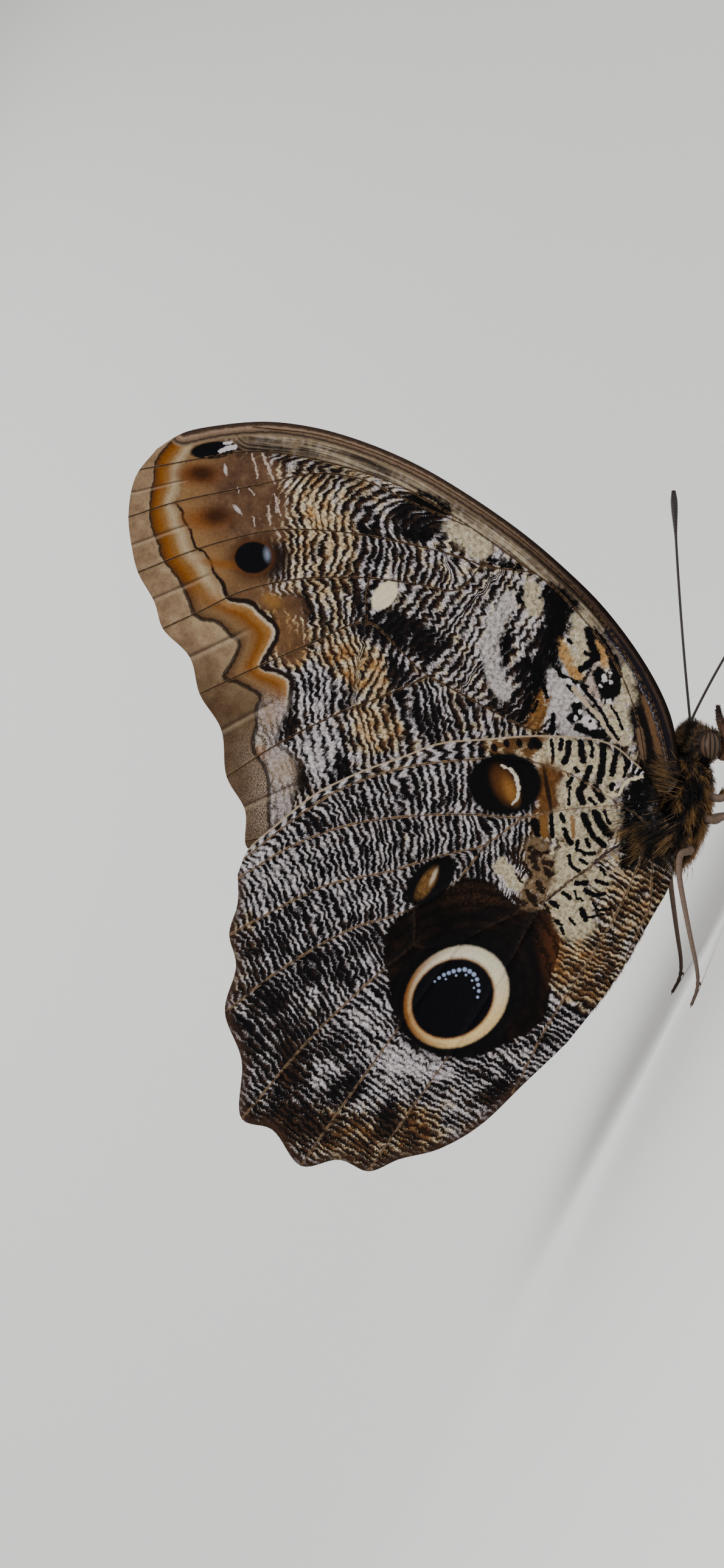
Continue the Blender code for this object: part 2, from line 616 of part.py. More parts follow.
def build():
    clear_scene()
    add_thorax()
    add_abdomen()
    add_head()
    add_eyes()
    add_palps()
    add_proboscis()
    for name, feeler in FEELERS.items():
        add_feeler(name, **feeler)
    add_leg("foreleg", FORELEG_ROOT, FORELEG)
    add_leg("midleg", MIDLEG_ROOT, MIDLEG)
    add_leg("hindleg", HINDLEG_ROOT, HINDLEG)
    add_wing("forewing", FOREWING_COSTA, FOREWING_MARGIN, FOREWING_INNER, FOREWING_VEINS,
             FOREWING_ROOT, forewing_side)
    add_wing("hindwing", HINDWING_COSTA, HINDWING_MARGIN, HINDWING_INNER, HINDWING_VEINS,
             HINDWING_ROOT, hindwing_side)
    stand_on_origin()


build()
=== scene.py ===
# %% [markdown]
# This lesson dresses an owl butterfly that stands with its wings closed over its back. The solids of the
# animal are already made, to size. Here they get what a visitor of a museum would look at: rippled wings
# with eyespots, raised veins, a furry trunk, striped eyes and jointed legs.

# %% The frame
import math

import bpy
import numpy as np
from mathutils import Matrix, Vector
from mathutils.geometry import delaunay_2d_cdt


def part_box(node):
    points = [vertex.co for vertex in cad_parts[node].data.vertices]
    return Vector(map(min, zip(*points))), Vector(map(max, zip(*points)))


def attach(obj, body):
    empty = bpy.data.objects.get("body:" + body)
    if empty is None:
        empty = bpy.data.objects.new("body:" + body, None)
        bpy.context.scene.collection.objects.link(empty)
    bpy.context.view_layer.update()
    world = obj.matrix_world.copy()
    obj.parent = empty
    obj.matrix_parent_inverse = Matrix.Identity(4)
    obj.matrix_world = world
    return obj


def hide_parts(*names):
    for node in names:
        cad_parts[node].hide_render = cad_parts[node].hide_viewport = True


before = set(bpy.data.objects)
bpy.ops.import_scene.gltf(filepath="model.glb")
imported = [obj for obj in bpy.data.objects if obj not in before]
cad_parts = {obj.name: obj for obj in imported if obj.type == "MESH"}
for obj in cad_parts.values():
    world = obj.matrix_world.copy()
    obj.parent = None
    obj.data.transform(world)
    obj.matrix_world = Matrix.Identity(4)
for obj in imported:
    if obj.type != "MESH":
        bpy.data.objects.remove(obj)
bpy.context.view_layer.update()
MM = 0.001

# %% [markdown]
# Every size below is in millimetres from the middle of the thorax, with x towards the head and z up, as the
# solids were designed. The abdomen's front face lies 6.5 mm behind that middle, so its box says where the
# middle is in the frame. The photograph is turned: its upward direction runs forward and a little up.

# %% From millimetres to the frame, and from the photograph to the wing's plane
ABDOMEN_FRONT = -6.5
FLOOR_BELOW = 11.3
MIDDLE = Vector((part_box("abdomen")[1].x - ABDOMEN_FRONT * MM, 0.0, FLOOR_BELOW * MM))
PHOTO_SCALE = 0.075
PHOTO_ORIGIN = (1110.0, 1330.0)
PHOTO_RIGHT = np.array((0.4472, -0.8944))
PHOTO_UP = np.array((0.8944, 0.4472))


def place(point):
    """A point in millimetres from the middle of the thorax, as a place in the frame."""
    return MIDDLE + Vector(point) * MM


def from_photo(points):
    """Pixels of the photograph as places on the wing's plane, in millimetres."""
    pixels = np.array(points, float).reshape(-1, 2) - PHOTO_ORIGIN
    return PHOTO_SCALE * (pixels[:, :1] * PHOTO_RIGHT - pixels[:, 1:] * PHOTO_UP)


print("middle of the thorax:", [round(v, 4) for v in MIDDLE])

# %% [markdown]
# The camera looks square at the right-hand wings. It is rolled, because the animal in the photograph sits on
# a leaf that hangs down, and here it stands on a floor. The frame of the photograph is tall, so the sensor's
# 36 mm run along its height.

# %% Camera
VIEW_CENTRE = (-14.45, 0.0, 35.9)
VIEW_HEIGHT = 193.2
CAMERA_DISTANCE = 420.0
camera_data = bpy.data.cameras.new("camera")
camera_data.sensor_width = 36.0
camera_data.lens = camera_data.sensor_width * CAMERA_DISTANCE / VIEW_HEIGHT
camera_data.clip_start = 0.01
camera = bpy.data.objects.new("camera", camera_data)
bpy.context.scene.collection.objects.link(camera)
sideways = Vector((PHOTO_RIGHT[0], 0.0, PHOTO_RIGHT[1])).normalized()
upward = Vector((PHOTO_UP[0], 0.0, PHOTO_UP[1])).normalized()
backward = sideways.cross(upward)
turn = Matrix((sideways, upward, backward)).transposed()
camera.matrix_world = Matrix.Translation(place(VIEW_CENTRE) + backward * CAMERA_DISTANCE * MM) @ turn.to_4x4()
bpy.context.scene.camera = camera
print("camera at", [round(v, 3) for v in camera.matrix_world.translation])

# %% [markdown]
# A pale sweep serves as floor and backdrop in one: flat under the feet and curved up behind, so that no
# horizon cuts the picture. Three large soft lights do the rest. The main one stands on the upper left of the
# picture, so that the ridges of the veins cast a hint of shade.

# %% Floor, backdrop and lights
SWEEP_DEPTH = 0.12
SWEEP_RADIUS = 0.9
SWEEP_HALF_WIDTH = 1.6


def build_sweep():
    profile = [(-1.2, 0.0), (SWEEP_DEPTH, 0.0)]
    for k in range(1, 13):
        bend = math.radians(7.5 * k)
        profile.append((SWEEP_DEPTH + SWEEP_RADIUS * math.sin(bend), SWEEP_RADIUS * (1 - math.cos(bend))))
    profile.append((SWEEP_DEPTH + SWEEP_RADIUS, 1.6))
    points = [(side * SWEEP_HALF_WIDTH, y, z) for y, z in profile for side in (-1, 1)]
    faces = [(2 * k, 2 * k + 1, 2 * k + 3, 2 * k + 2) for k in range(len(profile) - 1)]
    mesh = bpy.data.meshes.new("sweep")
    mesh.from_pydata(points, [], faces)
    mesh.shade_smooth()
    paint = bpy.data.materials.new("sweep_paint")
    paint.use_nodes = True
    shader = paint.node_tree.nodes["Principled BSDF"]
    shader.inputs["Base Color"].default_value = (0.80, 0.79, 0.77, 1)
    shader.inputs["Roughness"].default_value = 0.9
    mesh.materials.append(paint)
    sweep = bpy.data.objects.new("sweep", mesh)
    bpy.context.scene.collection.objects.link(sweep)


def add_light(name, spot, size, power):
    """A square area light, aimed at the middle of the wings."""
    data = bpy.data.lights.new(name, "AREA")
    data.size = size
    data.energy = power
    lamp = bpy.data.objects.new(name, data)
    bpy.context.scene.collection.objects.link(lamp)
    lamp.location = spot
    aim = place(VIEW_CENTRE) - lamp.location
    lamp.rotation_euler = aim.to_track_quat("-Z", "Y").to_euler()


build_sweep()
add_light("main_light", (-0.10, -0.45, 0.60), 0.5, 6.0)
add_light("fill_light", (0.60, -0.40, 0.25), 0.6, 1.6)
add_light("back_light", (-0.1, 0.5, 0.55), 0.6, 3.0)
world = bpy.data.worlds.new("studio")
world.use_nodes = True
world.node_tree.nodes["Background"].inputs["Color"].default_value = (0.86, 0.88, 0.90, 1)
world.node_tree.nodes["Background"].inputs["Strength"].default_value = 0.28
bpy.context.scene.world = world

# %% [markdown]
# The wings are drawn from few points: the outline in three runs, and each vein as a line of its own. A
# smooth curve through the points gives the real line. The points are measured on the wing itself.

# %% The plan of the forewing
FOREWING_COSTA = (
    (4.7, 1.9), (10.1, 6.0), (14.4, 11.5), (18.2, 18.8), (20.6, 26.1), (22.2, 33.0), (23.4, 42.0),
    (23.7, 47.9), (23.3, 54.4), (22.2, 60.5), (20.2, 66.2), (17.1, 71.4), (14.3, 74.9))
FOREWING_MARGIN = (
    (11.1, 76.9), (6.9, 77.7), (2.3, 76.4), (-1.0, 74.3), (-3.5, 72.2), (-5.9, 68.7), (-8.3, 66.4),
    (-10.0, 61.8), (-13.5, 58.7), (-16.2, 54.4), (-21.1, 51.2), (-23.8, 47.3), (-27.8, 45.0))
FOREWING_INNER = ((-26.6, 42.4), (-19.5, 31.5), (-10.4, 17.6), (-3.6, 7.2), (-1.8, 4.2), (0.2, 2.6),
                  (2.4, 1.6))
FOREWING_VEINS = {
    "costal": ((3.6, 2.8), (10.1, 8.3), (13.2, 12.5), (17.2, 19.3), (19.8, 26.6), (21.4, 33.2), (22.6, 42.0),
               (22.9, 48.0), (22.5, 54.2), (21.4, 60.3), (19.4, 65.9)),
    "radius": ((2.4, 5.4), (7.9, 9.4), (12.8, 14.8), (15.8, 20.5), (17.8, 26.1), (18.4, 29.8), (20.1, 41.1),
               (20.3, 49.6), (18.3, 60.3), (16.0, 66.4), (12.4, 71.6), (8.8, 76.4)),
    "media_1": ((19.7, 38.5), (19.2, 46.0), (19.0, 52.8), (17.0, 58.3), (12.6, 63.9), (6.2, 72.0),
                (2.3, 76.0)),
    "media_2": ((18.1, 29.0), (16.4, 34.1), (15.6, 39.1), (13.5, 47.8), (11.4, 53.9), (8.8, 59.2), (5.6, 63.4),
                (1.5, 67.7), (-3.2, 71.9)),
    "media_3": ((16.0, 34.8), (12.1, 36.1), (10.7, 40.4), (8.6, 46.4), (6.3, 51.2), (3.6, 55.6), (-0.2, 60.0),
                (-4.1, 63.0), (-8.0, 66.1)),
    "cell_end": ((8.6, 46.4), (6.1, 45.6), (3.6, 44.3)),
    "cubitus_1": ((1.0, 5.6), (0.9, 12.0), (1.0, 19.0), (0.7, 22.1), (0.9, 28.6), (1.3, 35.8), (2.7, 39.9),
                  (3.6, 44.3), (-1.4, 48.9), (-7.4, 53.9), (-13.2, 58.5)),
    "cubitus_2": ((1.2, 34.4), (-2.7, 37.6), (-8.4, 42.7), (-14.9, 47.5), (-20.8, 51.0)),
    "anal": ((-0.6, 5.2), (-5.2, 13.5), (-12.8, 25.6), (-19.8, 36.2), (-26.4, 44.6)),
}

# %% The plan of the hindwing
HINDWING_COSTA = (
    (2.6, 6.4), (3.6, 11.0), (1.1, 18.2), (-2.6, 24.7), (-5.8, 29.8), (-9.3, 33.1), (-12.7, 36.4),
    (-18.0, 40.5), (-24.0, 43.3), (-27.8, 44.8))
HINDWING_MARGIN = (
    (-31.2, 44.6), (-34.5, 43.0), (-38.2, 42.3), (-41.3, 39.8), (-47.0, 38.5), (-51.4, 34.0),
    (-57.9, 30.7), (-57.4, 26.8), (-59.8, 21.6), (-57.0, 17.7), (-56.7, 13.9), (-53.7, 11.2), (-50.4, 7.4),
    (-45.4, 4.1), (-38.2, 1.6))
HINDWING_INNER = ((-31.5, -0.7), (-23.1, -2.35), (-12.7, -3.15), (-9.0, -3.3), (-6.0, -2.6), (-3.0, -0.8),
                  (-1.0, 2.0), (0.9, 3.4))
HINDWING_VEINS = {
    "radial": ((-3.6, 1.0), (-2.7, 5.0), (-2.3, 9.2), (-2.0, 14.1), (-3.0, 19.5), (-5.2, 24.2), (-8.8, 30.1),
               (-11.8, 33.9), (-16.0, 37.8), (-20.8, 40.8), (-27.9, 44.2)),
    "media_1": ((-2.8, 6.8), (-5.5, 11.3), (-7.5, 14.1), (-9.4, 16.6), (-12.0, 22.7), (-15.6, 29.3),
                (-19.6, 35.0), (-24.7, 39.9), (-31.2, 44.1)),
    "media_2": ((-9.0, 16.2), (-11.6, 17.6), (-14.4, 19.1), (-17.9, 23.2), (-22.7, 28.3), (-27.5, 34.2),
                (-34.0, 39.2), (-37.9, 41.9)),
    "media_3": ((-14.0, 18.9), (-20.0, 20.3), (-25.6, 23.7), (-30.7, 28.9), (-36.2, 32.8), (-40.7, 35.4),
                (-46.7, 38.2)),
    "cell_end": ((-25.2, 23.4), (-27.1, 22.3), (-29.2, 21.1), (-28.2, 18.6), (-26.5, 16.3)),
    "cubitus_1": ((-29.0, 21.2), (-32.2, 22.7), (-37.2, 24.8), (-43.1, 26.9), (-47.8, 28.3), (-57.5, 30.6)),
    "cubitus_2": ((-4.8, 2.6), (-10.1, 5.9), (-14.1, 8.1), (-18.1, 10.2), (-21.3, 12.8), (-26.5, 16.3),
                  (-29.8, 16.9), (-34.2, 17.6), (-40.0, 18.6), (-50.0, 20.2), (-59.4, 21.6)),
    "anal_1": ((-16.6, 9.4), (-21.7, 9.9), (-27.3, 10.1), (-35.6, 10.9), (-46.0, 12.4), (-56.3, 13.9)),
    "anal_2": ((-5.2, 1.5), (-13.1, 1.0), (-20.0, 1.3), (-30.5, 2.4), (-38.6, 2.4)),
    "anal_3": ((-5.4, 0.6), (-9.8, -1.3), (-12.0, -2.2), (-17.5, -2.4)),
}

# %% [markdown]
# The ripples of an owl butterfly cross each cell of the wing square to its veins, and jump from one cell to
# the next. So each cell is listed with a spot inside it, the two veins that guide its ripples, the length of
# one ripple, and how far the ripples slant and bow between the veins, counted in ripples.

# %% The cells between the veins
FOREWING_CELLS = {
    "costal_edge": ((20.2, 22.5), "costal", "costal", 1.3, 0.0, 0.0),
    "subcostal": ((20.6, 37.0), "costal", "radius", 1.2, 0.4, 0.0),
    "apex": ((15.5, 71.5), "radius", "radius", 1.2, 0.8, 0.0),
    "below_radius": ((13.5, 65.5), "radius", "media_1", 1.3, -1.2, -0.9),
    "below_media_1": ((14.0, 56.0), "media_1", "media_2", 1.25, -1.6, -1.2),
    "below_media_2": ((10.0, 50.5), "media_2", "media_3", 1.02, 0.1, 0.3),
    "below_media_3": ((2.0, 51.0), "media_3", "cubitus_1", 1.02, -0.5, 0.6),
    "discal": ((8.0, 28.0), "radius", "cubitus_1", 1.12, 0.3, 0.5),
    "below_cubitus_1": ((-3.0, 44.5), "cubitus_1", "cubitus_2", 0.95, -1.4, 0.4),
    "below_cubitus_2": ((-6.5, 34.0), "cubitus_2", "anal", 1.0, -1.5, 0.3),
    "inner": ((-14.5, 26.4), "anal", "anal", 1.1, 0.0, 0.0),
}
HINDWING_CELLS = {
    "costal_edge": ((-0.6, 19.5), "radial", "radial", 1.7, 0.35, 0.0),
    "below_radial": ((-8.8, 26.0), "radial", "media_1", 0.95, 0.2, 0.3),
    "below_media_1": ((-20.0, 31.5), "media_1", "media_2", 0.86, -0.2, 0.3),
    "below_media_2": ((-25.0, 27.5), "media_2", "media_3", 0.86, -0.3, 0.4),
    "discal": ((-13.5, 13.0), "media_1", "cubitus_2", 1.2, 0.6, 0.9),
    "below_media_3": ((-36.0, 28.0), "media_3", "cubitus_1", 0.86, -0.5, 0.4),
    "below_cubitus_1": ((-42.0, 22.5), "cubitus_1", "cubitus_2", 0.86, -0.4, 0.4),
    "below_cubitus_2": ((-40.0, 14.5), "cubitus_2", "anal_1", 0.80, 0.2, 0.3),
    "below_anal_1": ((-24.0, 5.5), "anal_1", "anal_2", 0.76, 0.3, 0.2),
    "below_anal_2": ((-24.0, 0.0), "anal_2", "anal_2", 0.72, 0.2, 0.0),
}
print("cells:", len(FOREWING_CELLS), "and", len(HINDWING_CELLS))

# %% [markdown]
# A smooth line through a few points is needed again and again, for veins, outlines, legs and feelers. The
# centripetal kind never loops between points that lie close together.

# %% Smooth lines and distances
def spline(points, step):
    """Points about one step apart on a smooth curve through the given ones."""
    given = [np.array(p, float) for p in points]
    ends = [2 * given[0] - given[1]] + given + [2 * given[-1] - given[-2]]
    curve = []
    for p0, p1, p2, p3 in zip(ends, ends[1:], ends[2:], ends[3:]):
        t0 = 0.0
        t1 = t0 + math.sqrt(np.linalg.norm(p1 - p0))
        t2 = t1 + math.sqrt(np.linalg.norm(p2 - p1))
        t3 = t2 + math.sqrt(np.linalg.norm(p3 - p2))
        pieces = max(1, round(np.linalg.norm(p2 - p1) / step))
        for k in range(pieces):
            t = t1 + (t2 - t1) * k / pieces
            a1 = (t1 - t) / (t1 - t0) * p0 + (t - t0) / (t1 - t0) * p1
            a2 = (t2 - t) / (t2 - t1) * p1 + (t - t1) / (t2 - t1) * p2
            a3 = (t3 - t) / (t3 - t2) * p2 + (t - t2) / (t3 - t2) * p3
            b1 = (t2 - t) / (t2 - t0) * a1 + (t - t0) / (t2 - t0) * a2
            b2 = (t3 - t) / (t3 - t1) * a2 + (t - t1) / (t3 - t1) * a3
            curve.append((t2 - t) / (t2 - t1) * b1 + (t - t1) / (t2 - t1) * b2)
    curve.append(given[-1])
    return np.array(curve)


def unit(vectors):
    return vectors / np.linalg.norm(vectors, axis=-1, keepdims=True)


def smooth_step(low, high, value):
    t = np.clip((value - low) / (high - low), 0, 1)
    return t * t * (3 - 2 * t)


def along_line(points, line):
    """For each point: its distance to a line, on which side it lies, and how far along it is."""
    starts, spans = line[:-1], np.diff(line, axis=0)
    lengths = np.linalg.norm(spans, axis=1)
    offsets = points[:, None, :] - starts[None]
    t = np.sum(offsets * spans, axis=2) / (lengths ** 2)
    low, high = np.zeros(len(lengths)), np.ones(len(lengths))
    clipped = np.clip(t, low, high)
    away = offsets - clipped[..., None] * spans
    distance = np.linalg.norm(away, axis=2)
    best = np.argmin(distance, axis=1)
    row = np.arange(len(points))
    reached = np.concatenate([[0.0], np.cumsum(lengths)])[:-1]
    low[0], high[-1] = -np.inf, np.inf
    free = np.clip(t, low, high)[row, best]
    cross = spans[best, 0] * offsets[row, best, 1] - spans[best, 1] * offsets[row, best, 0]
    return distance[row, best], np.sign(cross), reached[best] + free * lengths[best]


def to_loop(points, loop):
    """The distance of each point to a closed outline."""
    return along_line(points, np.vstack([loop, loop[:1]]))[0]


def inside_loop(points, loop):
    """Whether each point lies inside a closed outline."""
    x, z = points[:, 0, None], points[:, 1, None]
    x0, z0 = loop[:, 0], loop[:, 1]
    x1, z1 = np.roll(x0, -1), np.roll(z0, -1)
    crosses = (z0 > z) != (z1 > z)
    rise = np.where(z1 == z0, 1e-9, z1 - z0)
    return np.sum(crosses & (x < x0 + (z - z0) / rise * (x1 - x0)), axis=1) % 2 == 1


# %% [markdown]
# How far each wing stands from the middle plane follows the solids: nearly flat and close together away from
# the body, and spread where it passes beside the thorax and the abdomen. These are the same formulas and
# sizes as the solids have, worked out for many points at once.

# %% How the wings stand
THORAX = {"length": 7.4, "power": 2.4, "width": 3.8, "top": 4.8, "bottom": 4.5, "rise": 0.15,
          "back": -6.2, "front": 6.3}
ABDOMEN = ((-6.5, 1.9), (-9.0, 2.45), (-13.0, 2.6), (-18.0, 2.3), (-23.0, 1.55), (-26.2, 0.75), (-27.2, 0.3))
ABDOMEN_DROP = 0.05
BODY_AXIS = np.array(((6.0, 0.5), (-27.0, -1.0)))
FLAT_SIDE = 0.5
FLARE = (2.6, 3.0, 21.0)
BESIDE_BODY = 0.7
HINDWING_OUTSIDE = 1.15


def thorax_scale(x):
    return np.sqrt(np.clip(1 - (np.abs(x) / THORAX["length"]) ** THORAX["power"], 0, 1))


def abdomen_radius(x):
    places, radii = np.array(ABDOMEN[::-1]).T
    return np.interp(x, places, radii, left=0.0, right=0.0)


def abdomen_axis(x):
    return THORAX["rise"] * THORAX["back"] * 0.4 + ABDOMEN_DROP * (x - THORAX["back"])


def body_half_width(x, z):
    rise = z - THORAX["rise"] * x
    height = np.where(rise > 0, THORAX["top"], THORAX["bottom"]) * np.maximum(thorax_scale(x), 0.01)
    thorax = THORAX["width"] * thorax_scale(x) * np.sqrt(np.clip(1 - (rise / height) ** 2, 0, 1))
    thorax = np.where((x >= THORAX["back"]) & (x <= THORAX["front"]), thorax, 0)
    abdomen = np.sqrt(np.clip(abdomen_radius(x) ** 2 - (z - abdomen_axis(x)) ** 2, 0, None))
    return np.maximum(thorax, abdomen)


def forewing_side(points):
    x, z = points[:, 0], points[:, 1]
    flare = FLARE[0] * (1 - smooth_step(FLARE[1], FLARE[2], along_line(points, BODY_AXIS)[0]))
    wide, beside = FLAT_SIDE + flare, body_half_width(x, z) + BESIDE_BODY
    return 0.5 * (wide + beside + np.sqrt((wide - beside) ** 2 + 0.25))


def hindwing_side(points):
    start, end = np.array(FOREWING_INNER[4]), np.array(FOREWING_INNER[0])
    way = unit(end - start)
    over = (points[:, 0] - start[0]) * way[1] - (points[:, 1] - start[1]) * way[0]
    return forewing_side(points) + HINDWING_OUTSIDE * smooth_step(-4.5, -0.9, over)


# %% [markdown]
# The mesh of a wing is a flat net of small triangles that is then pushed to its place. Five lines of edges
# run along every vein, so that its ridge is round and its crest is a clean border between two cells. Finding
# the cells is then a matter of walking from triangle to triangle without stepping over a crest.

# %% The net of a wing
VEIN_HALF_WIDTH = (0.42, 0.2)
VEIN_HEIGHT = (0.24, 0.12)
NET_STEP, ROW_STEP = 0.62, 0.866
VEIN_STEP, OUTLINE_STEP = 0.8, 0.7
WING_REACH = 62.0


def vein_size(points, root, sizes):
    reach = np.clip(np.linalg.norm(points - np.array(root), axis=1) / WING_REACH, 0, 1)
    return sizes[0] + (sizes[1] - sizes[0]) * reach


def long_enough(line, loop, others):
    """A vein's crest, run on to its parent vein or to the wing's edge, so that it parts the cells."""
    first = line[0] + 0.5 * (line[0] - line[1]) / np.linalg.norm(line[0] - line[1])
    if min(along_line(line[:1], other)[0][0] for other in others) > 0.6:
        nearest = loop[np.argmin(np.linalg.norm(loop - line[0], axis=1))]
        first = nearest + 0.9 * (nearest - line[0]) / np.linalg.norm(nearest - line[0])
    tip = (line[-1] - line[-2]) / np.linalg.norm(line[-1] - line[-2])
    gap = to_loop(line[-1:], loop)[0]
    return np.vstack([first, line, line[-1] + tip * (gap + 0.9 if gap < 1.5 else 0.4)])


def wing_net(outline, veins, root):
    """Points, triangles, crest lines and the triangle pairs that share an edge off the crests."""
    loop = np.vstack([spline(run + after[:1], OUTLINE_STEP)[:-1]
                      for run, after in zip(outline, outline[1:] + outline[:1])])
    lines = {name: spline(points, VEIN_STEP) for name, points in veins.items()}
    crests = {name: long_enough(line, loop, [other for key, other in lines.items() if key != name])
              for name, line in lines.items()}
    points, edges, crest_edges = [Vector(p) for p in loop], [], set()
    for crest in crests.values():
        ahead = np.gradient(crest, axis=0)
        sideways = np.stack([-ahead[:, 1], ahead[:, 0]], 1) / np.linalg.norm(ahead, axis=1)[:, None]
        width = vein_size(crest, root, VEIN_HALF_WIDTH)[:, None]
        for share in (-1, -0.5, 0, 0.5, 1):
            first = len(points)
            points += [Vector(p) for p in crest + share * width * sideways]
            for k in range(len(crest) - 1):
                if share == 0:
                    crest_edges.add(len(edges))
                edges.append((first + k, first + k + 1))
    low = loop.min(axis=0)
    wide, high = (loop.max(axis=0) - low) / NET_STEP
    rows, columns = np.mgrid[0:int(high / ROW_STEP) + 1, 0:int(wide)]
    fill = np.stack([low[0] + (columns + 0.5 * (rows % 2)) * NET_STEP, low[1] + rows * ROW_STEP * NET_STEP], 2)
    fill = fill.reshape(-1, 2)
    fill = fill[inside_loop(fill, loop)]
    fill = fill[to_loop(fill, loop) > 0.4 * NET_STEP]
    for crest in crests.values():
        near = along_line(fill, crest)[0] < vein_size(fill, root, VEIN_HALF_WIDTH) + 0.35 * NET_STEP
        fill = fill[~near]
    points += [Vector(p) for p in fill]
    made = delaunay_2d_cdt(points, edges, [list(range(len(loop)))], 1, 0.01)
    net, triangles = np.array([tuple(p) for p in made[0]]), [tuple(f) for f in made[2]]
    blocked = {tuple(sorted(e)) for e, ids in zip(made[1], made[4]) if crest_edges.intersection(ids)}
    return loop, net, np.array(triangles), crests, blocked


def find_cells(net, triangles, blocked, cells):
    """The number of the cell that each triangle lies in."""
    by_edge, near = {}, [[] for _ in triangles]
    for f, (a, b, c) in enumerate(triangles.tolist()):
        for edge in ((a, b), (b, c), (c, a)):
            by_edge.setdefault(tuple(sorted(edge)), []).append(f)
    for edge, owners in by_edge.items():
        if len(owners) == 2 and edge not in blocked:
            near[owners[0]].append(owners[1])
            near[owners[1]].append(owners[0])
    middles = net[triangles].mean(axis=1)
    label = np.full(len(triangles), -1)
    for number, (spot, *_) in enumerate(cells.values()):
        start = int(np.argmin(np.linalg.norm(middles - np.array(spot), axis=1)))
        if label[start] >= 0:
            print("two cells run together:", list(cells)[number], "and", list(cells)[label[start]])
            continue
        label[start], queue = number, [start]
        while queue:
            for other in near[queue.pop()]:
                if label[other] < 0:
                    label[other] = number
                    queue.append(other)
    print("triangles in each cell:", {name: int(np.sum(label == k)) for k, name in enumerate(cells)})
    known = np.flatnonzero(label >= 0)
    for lost in np.flatnonzero(label < 0):
        label[lost] = label[known[np.argmin(np.linalg.norm(middles[known] - middles[lost], axis=1))]]
    return label


# %% [markdown]
# The broad shading of a wing is painted with soft ellipses: each one darkens or lightens the ripples, warms
# them towards cream and ochre, or hides them under a plain patch. The ripple pattern itself comes later, in
# the material, and its edges follow these fields without ever showing the ellipses. The ellipses are placed
# in pixels of the photograph: middle, half length, half width, turn, tone, warmth, plainness.

# %% The broad shading of the forewing
FOREWING_PAINT = (
    (600, 757, 80, 15, 10, 1.08, 0.2, 0), (692, 850, 42, 40, 0, 1.25, 0.1, 0),
    (712, 826, 34, 17, 35, 1.58, 0, 0), (668, 1042, 64, 28, 22, 1.66, 0, 0),
    (652, 1105, 15, 48, 0, 1.3, 0, 0), (700, 1170, 36, 40, 0, 0.58, 0, 0),
    (596, 1000, 16, 34, 0, 1.15, 0, 0), (614, 915, 20, 50, 0, 0.5, 0, 0),
    (575, 825, 75, 22, 48, 0.65, 0, 0), (492, 995, 32, 16, 35, 0.94, 0, 0),
    (820, 1040, 62, 48, 0, -0.45, 0.3, 0), (828, 1062, 12, 32, 0, 1.37, 0, 0),
    (805, 1100, 22, 14, 0, 0.65, 0, 0), (872, 975, 40, 38, 0, -0.65, 0.4, 0),
    (917, 1000, 24, 42, -20, 1.87, 0, 0), (900, 1058, 22, 36, 10, 1.58, 0, 0),
    (878, 1110, 30, 26, 0, 1.44, 0, 0), (852, 1162, 22, 32, 30, 1.22, 0.2, 0),
    (948, 1040, 20, 44, 12, -3.8, 0.42, 0), (968, 1062, 9, 36, -12, 3.02, 0, 0),
    (934, 1082, 11, 40, -28, -3, 0.9, 0), (1030, 1150, 19, 84, -8, -3.4, 0.45, 0),
    (996, 1118, 22, 44, 0, 0.86, 0.2, 0), (988, 1078, 12, 30, -25, -2.6, 0.85, 0),
    (914, 1156, 22, 48, 0, -1.8, 0.15, 0), (957, 1172, 26, 32, 0, 1.58, 0, 0),
    (977, 1186, 15, 15, 0, -1.8, 0.1, 0), (1014, 1188, 34, 15, 52, -3, 0.42, 0),
    (882, 1165, 18, 34, 20, -0.1, 1, 0.3), (785, 888, 74, 22, 30, -1.2, 0.42, 0),
    (632, 788, 60, 10, 20, -1, 0.45, 0), (540, 860, 70, 110, 0, 0, 0.62, 0),
    (530, 1000, 60, 60, 0, 0.1, 0.5, 0), (505, 742, 52, 11, 8, -1.75, 0.55, 0),
    (545, 826, 40, 66, 20, -0.75, 0.72, 0), (585, 1095, 70, 36, 30, -0.3, 0.8, 0),
    (622, 1196, 42, 34, 35, -0.25, 0.75, 0), (520, 985, 40, 50, 0, 0, 0.45, 0),
    (452, 1165, 28, 26, 0, -1.1, 0, 0), (468, 1250, 34, 40, 0, -1.2, 0.05, 0),
    (532, 1240, 34, 50, 0, -0.95, 0, 0), (520, 1132, 46, 34, 0, -0.2, 0, 0),
    (450, 1318, 30, 30, 0, -1.2, 0, 0), (475, 1202, 11, 24, 15, 1.87, 0.2, 0),
    (492, 1262, 12, 42, -10, 1.8, 0.1, 0), (552, 1262, 20, 30, 0, 1.22, 0, 0),
    (475, 1062, 34, 30, 0, -0.1, 0.9, 0.35), (446, 992, 20, 14, 0, -0.5, 0.9, 0.8),
    (1052, 1180, 26, 90, -14, 3.6, 0.3, 0), (1050, 1215, 8, 42, 0, -1.6, 0.9, 0.2),
    (1082, 1232, 8, 52, -14, -1.8, 0.9, 0.3), (350, 830, 118, 110, 0, 0, 0.6, 1.35),
    (392, 800, 40, 60, 0, 0, 0.6, 0.3), (380, 960, 60, 60, 0, 0, 0.5, 1.4),
    (430, 850, 36, 60, 0, -0.1, 0.6, 0.1), (480, 1030, 28, 60, 0, 0, 0.95, 0.62),
)
FOREWING_BASE = (0.2, 0.33, 0.0)

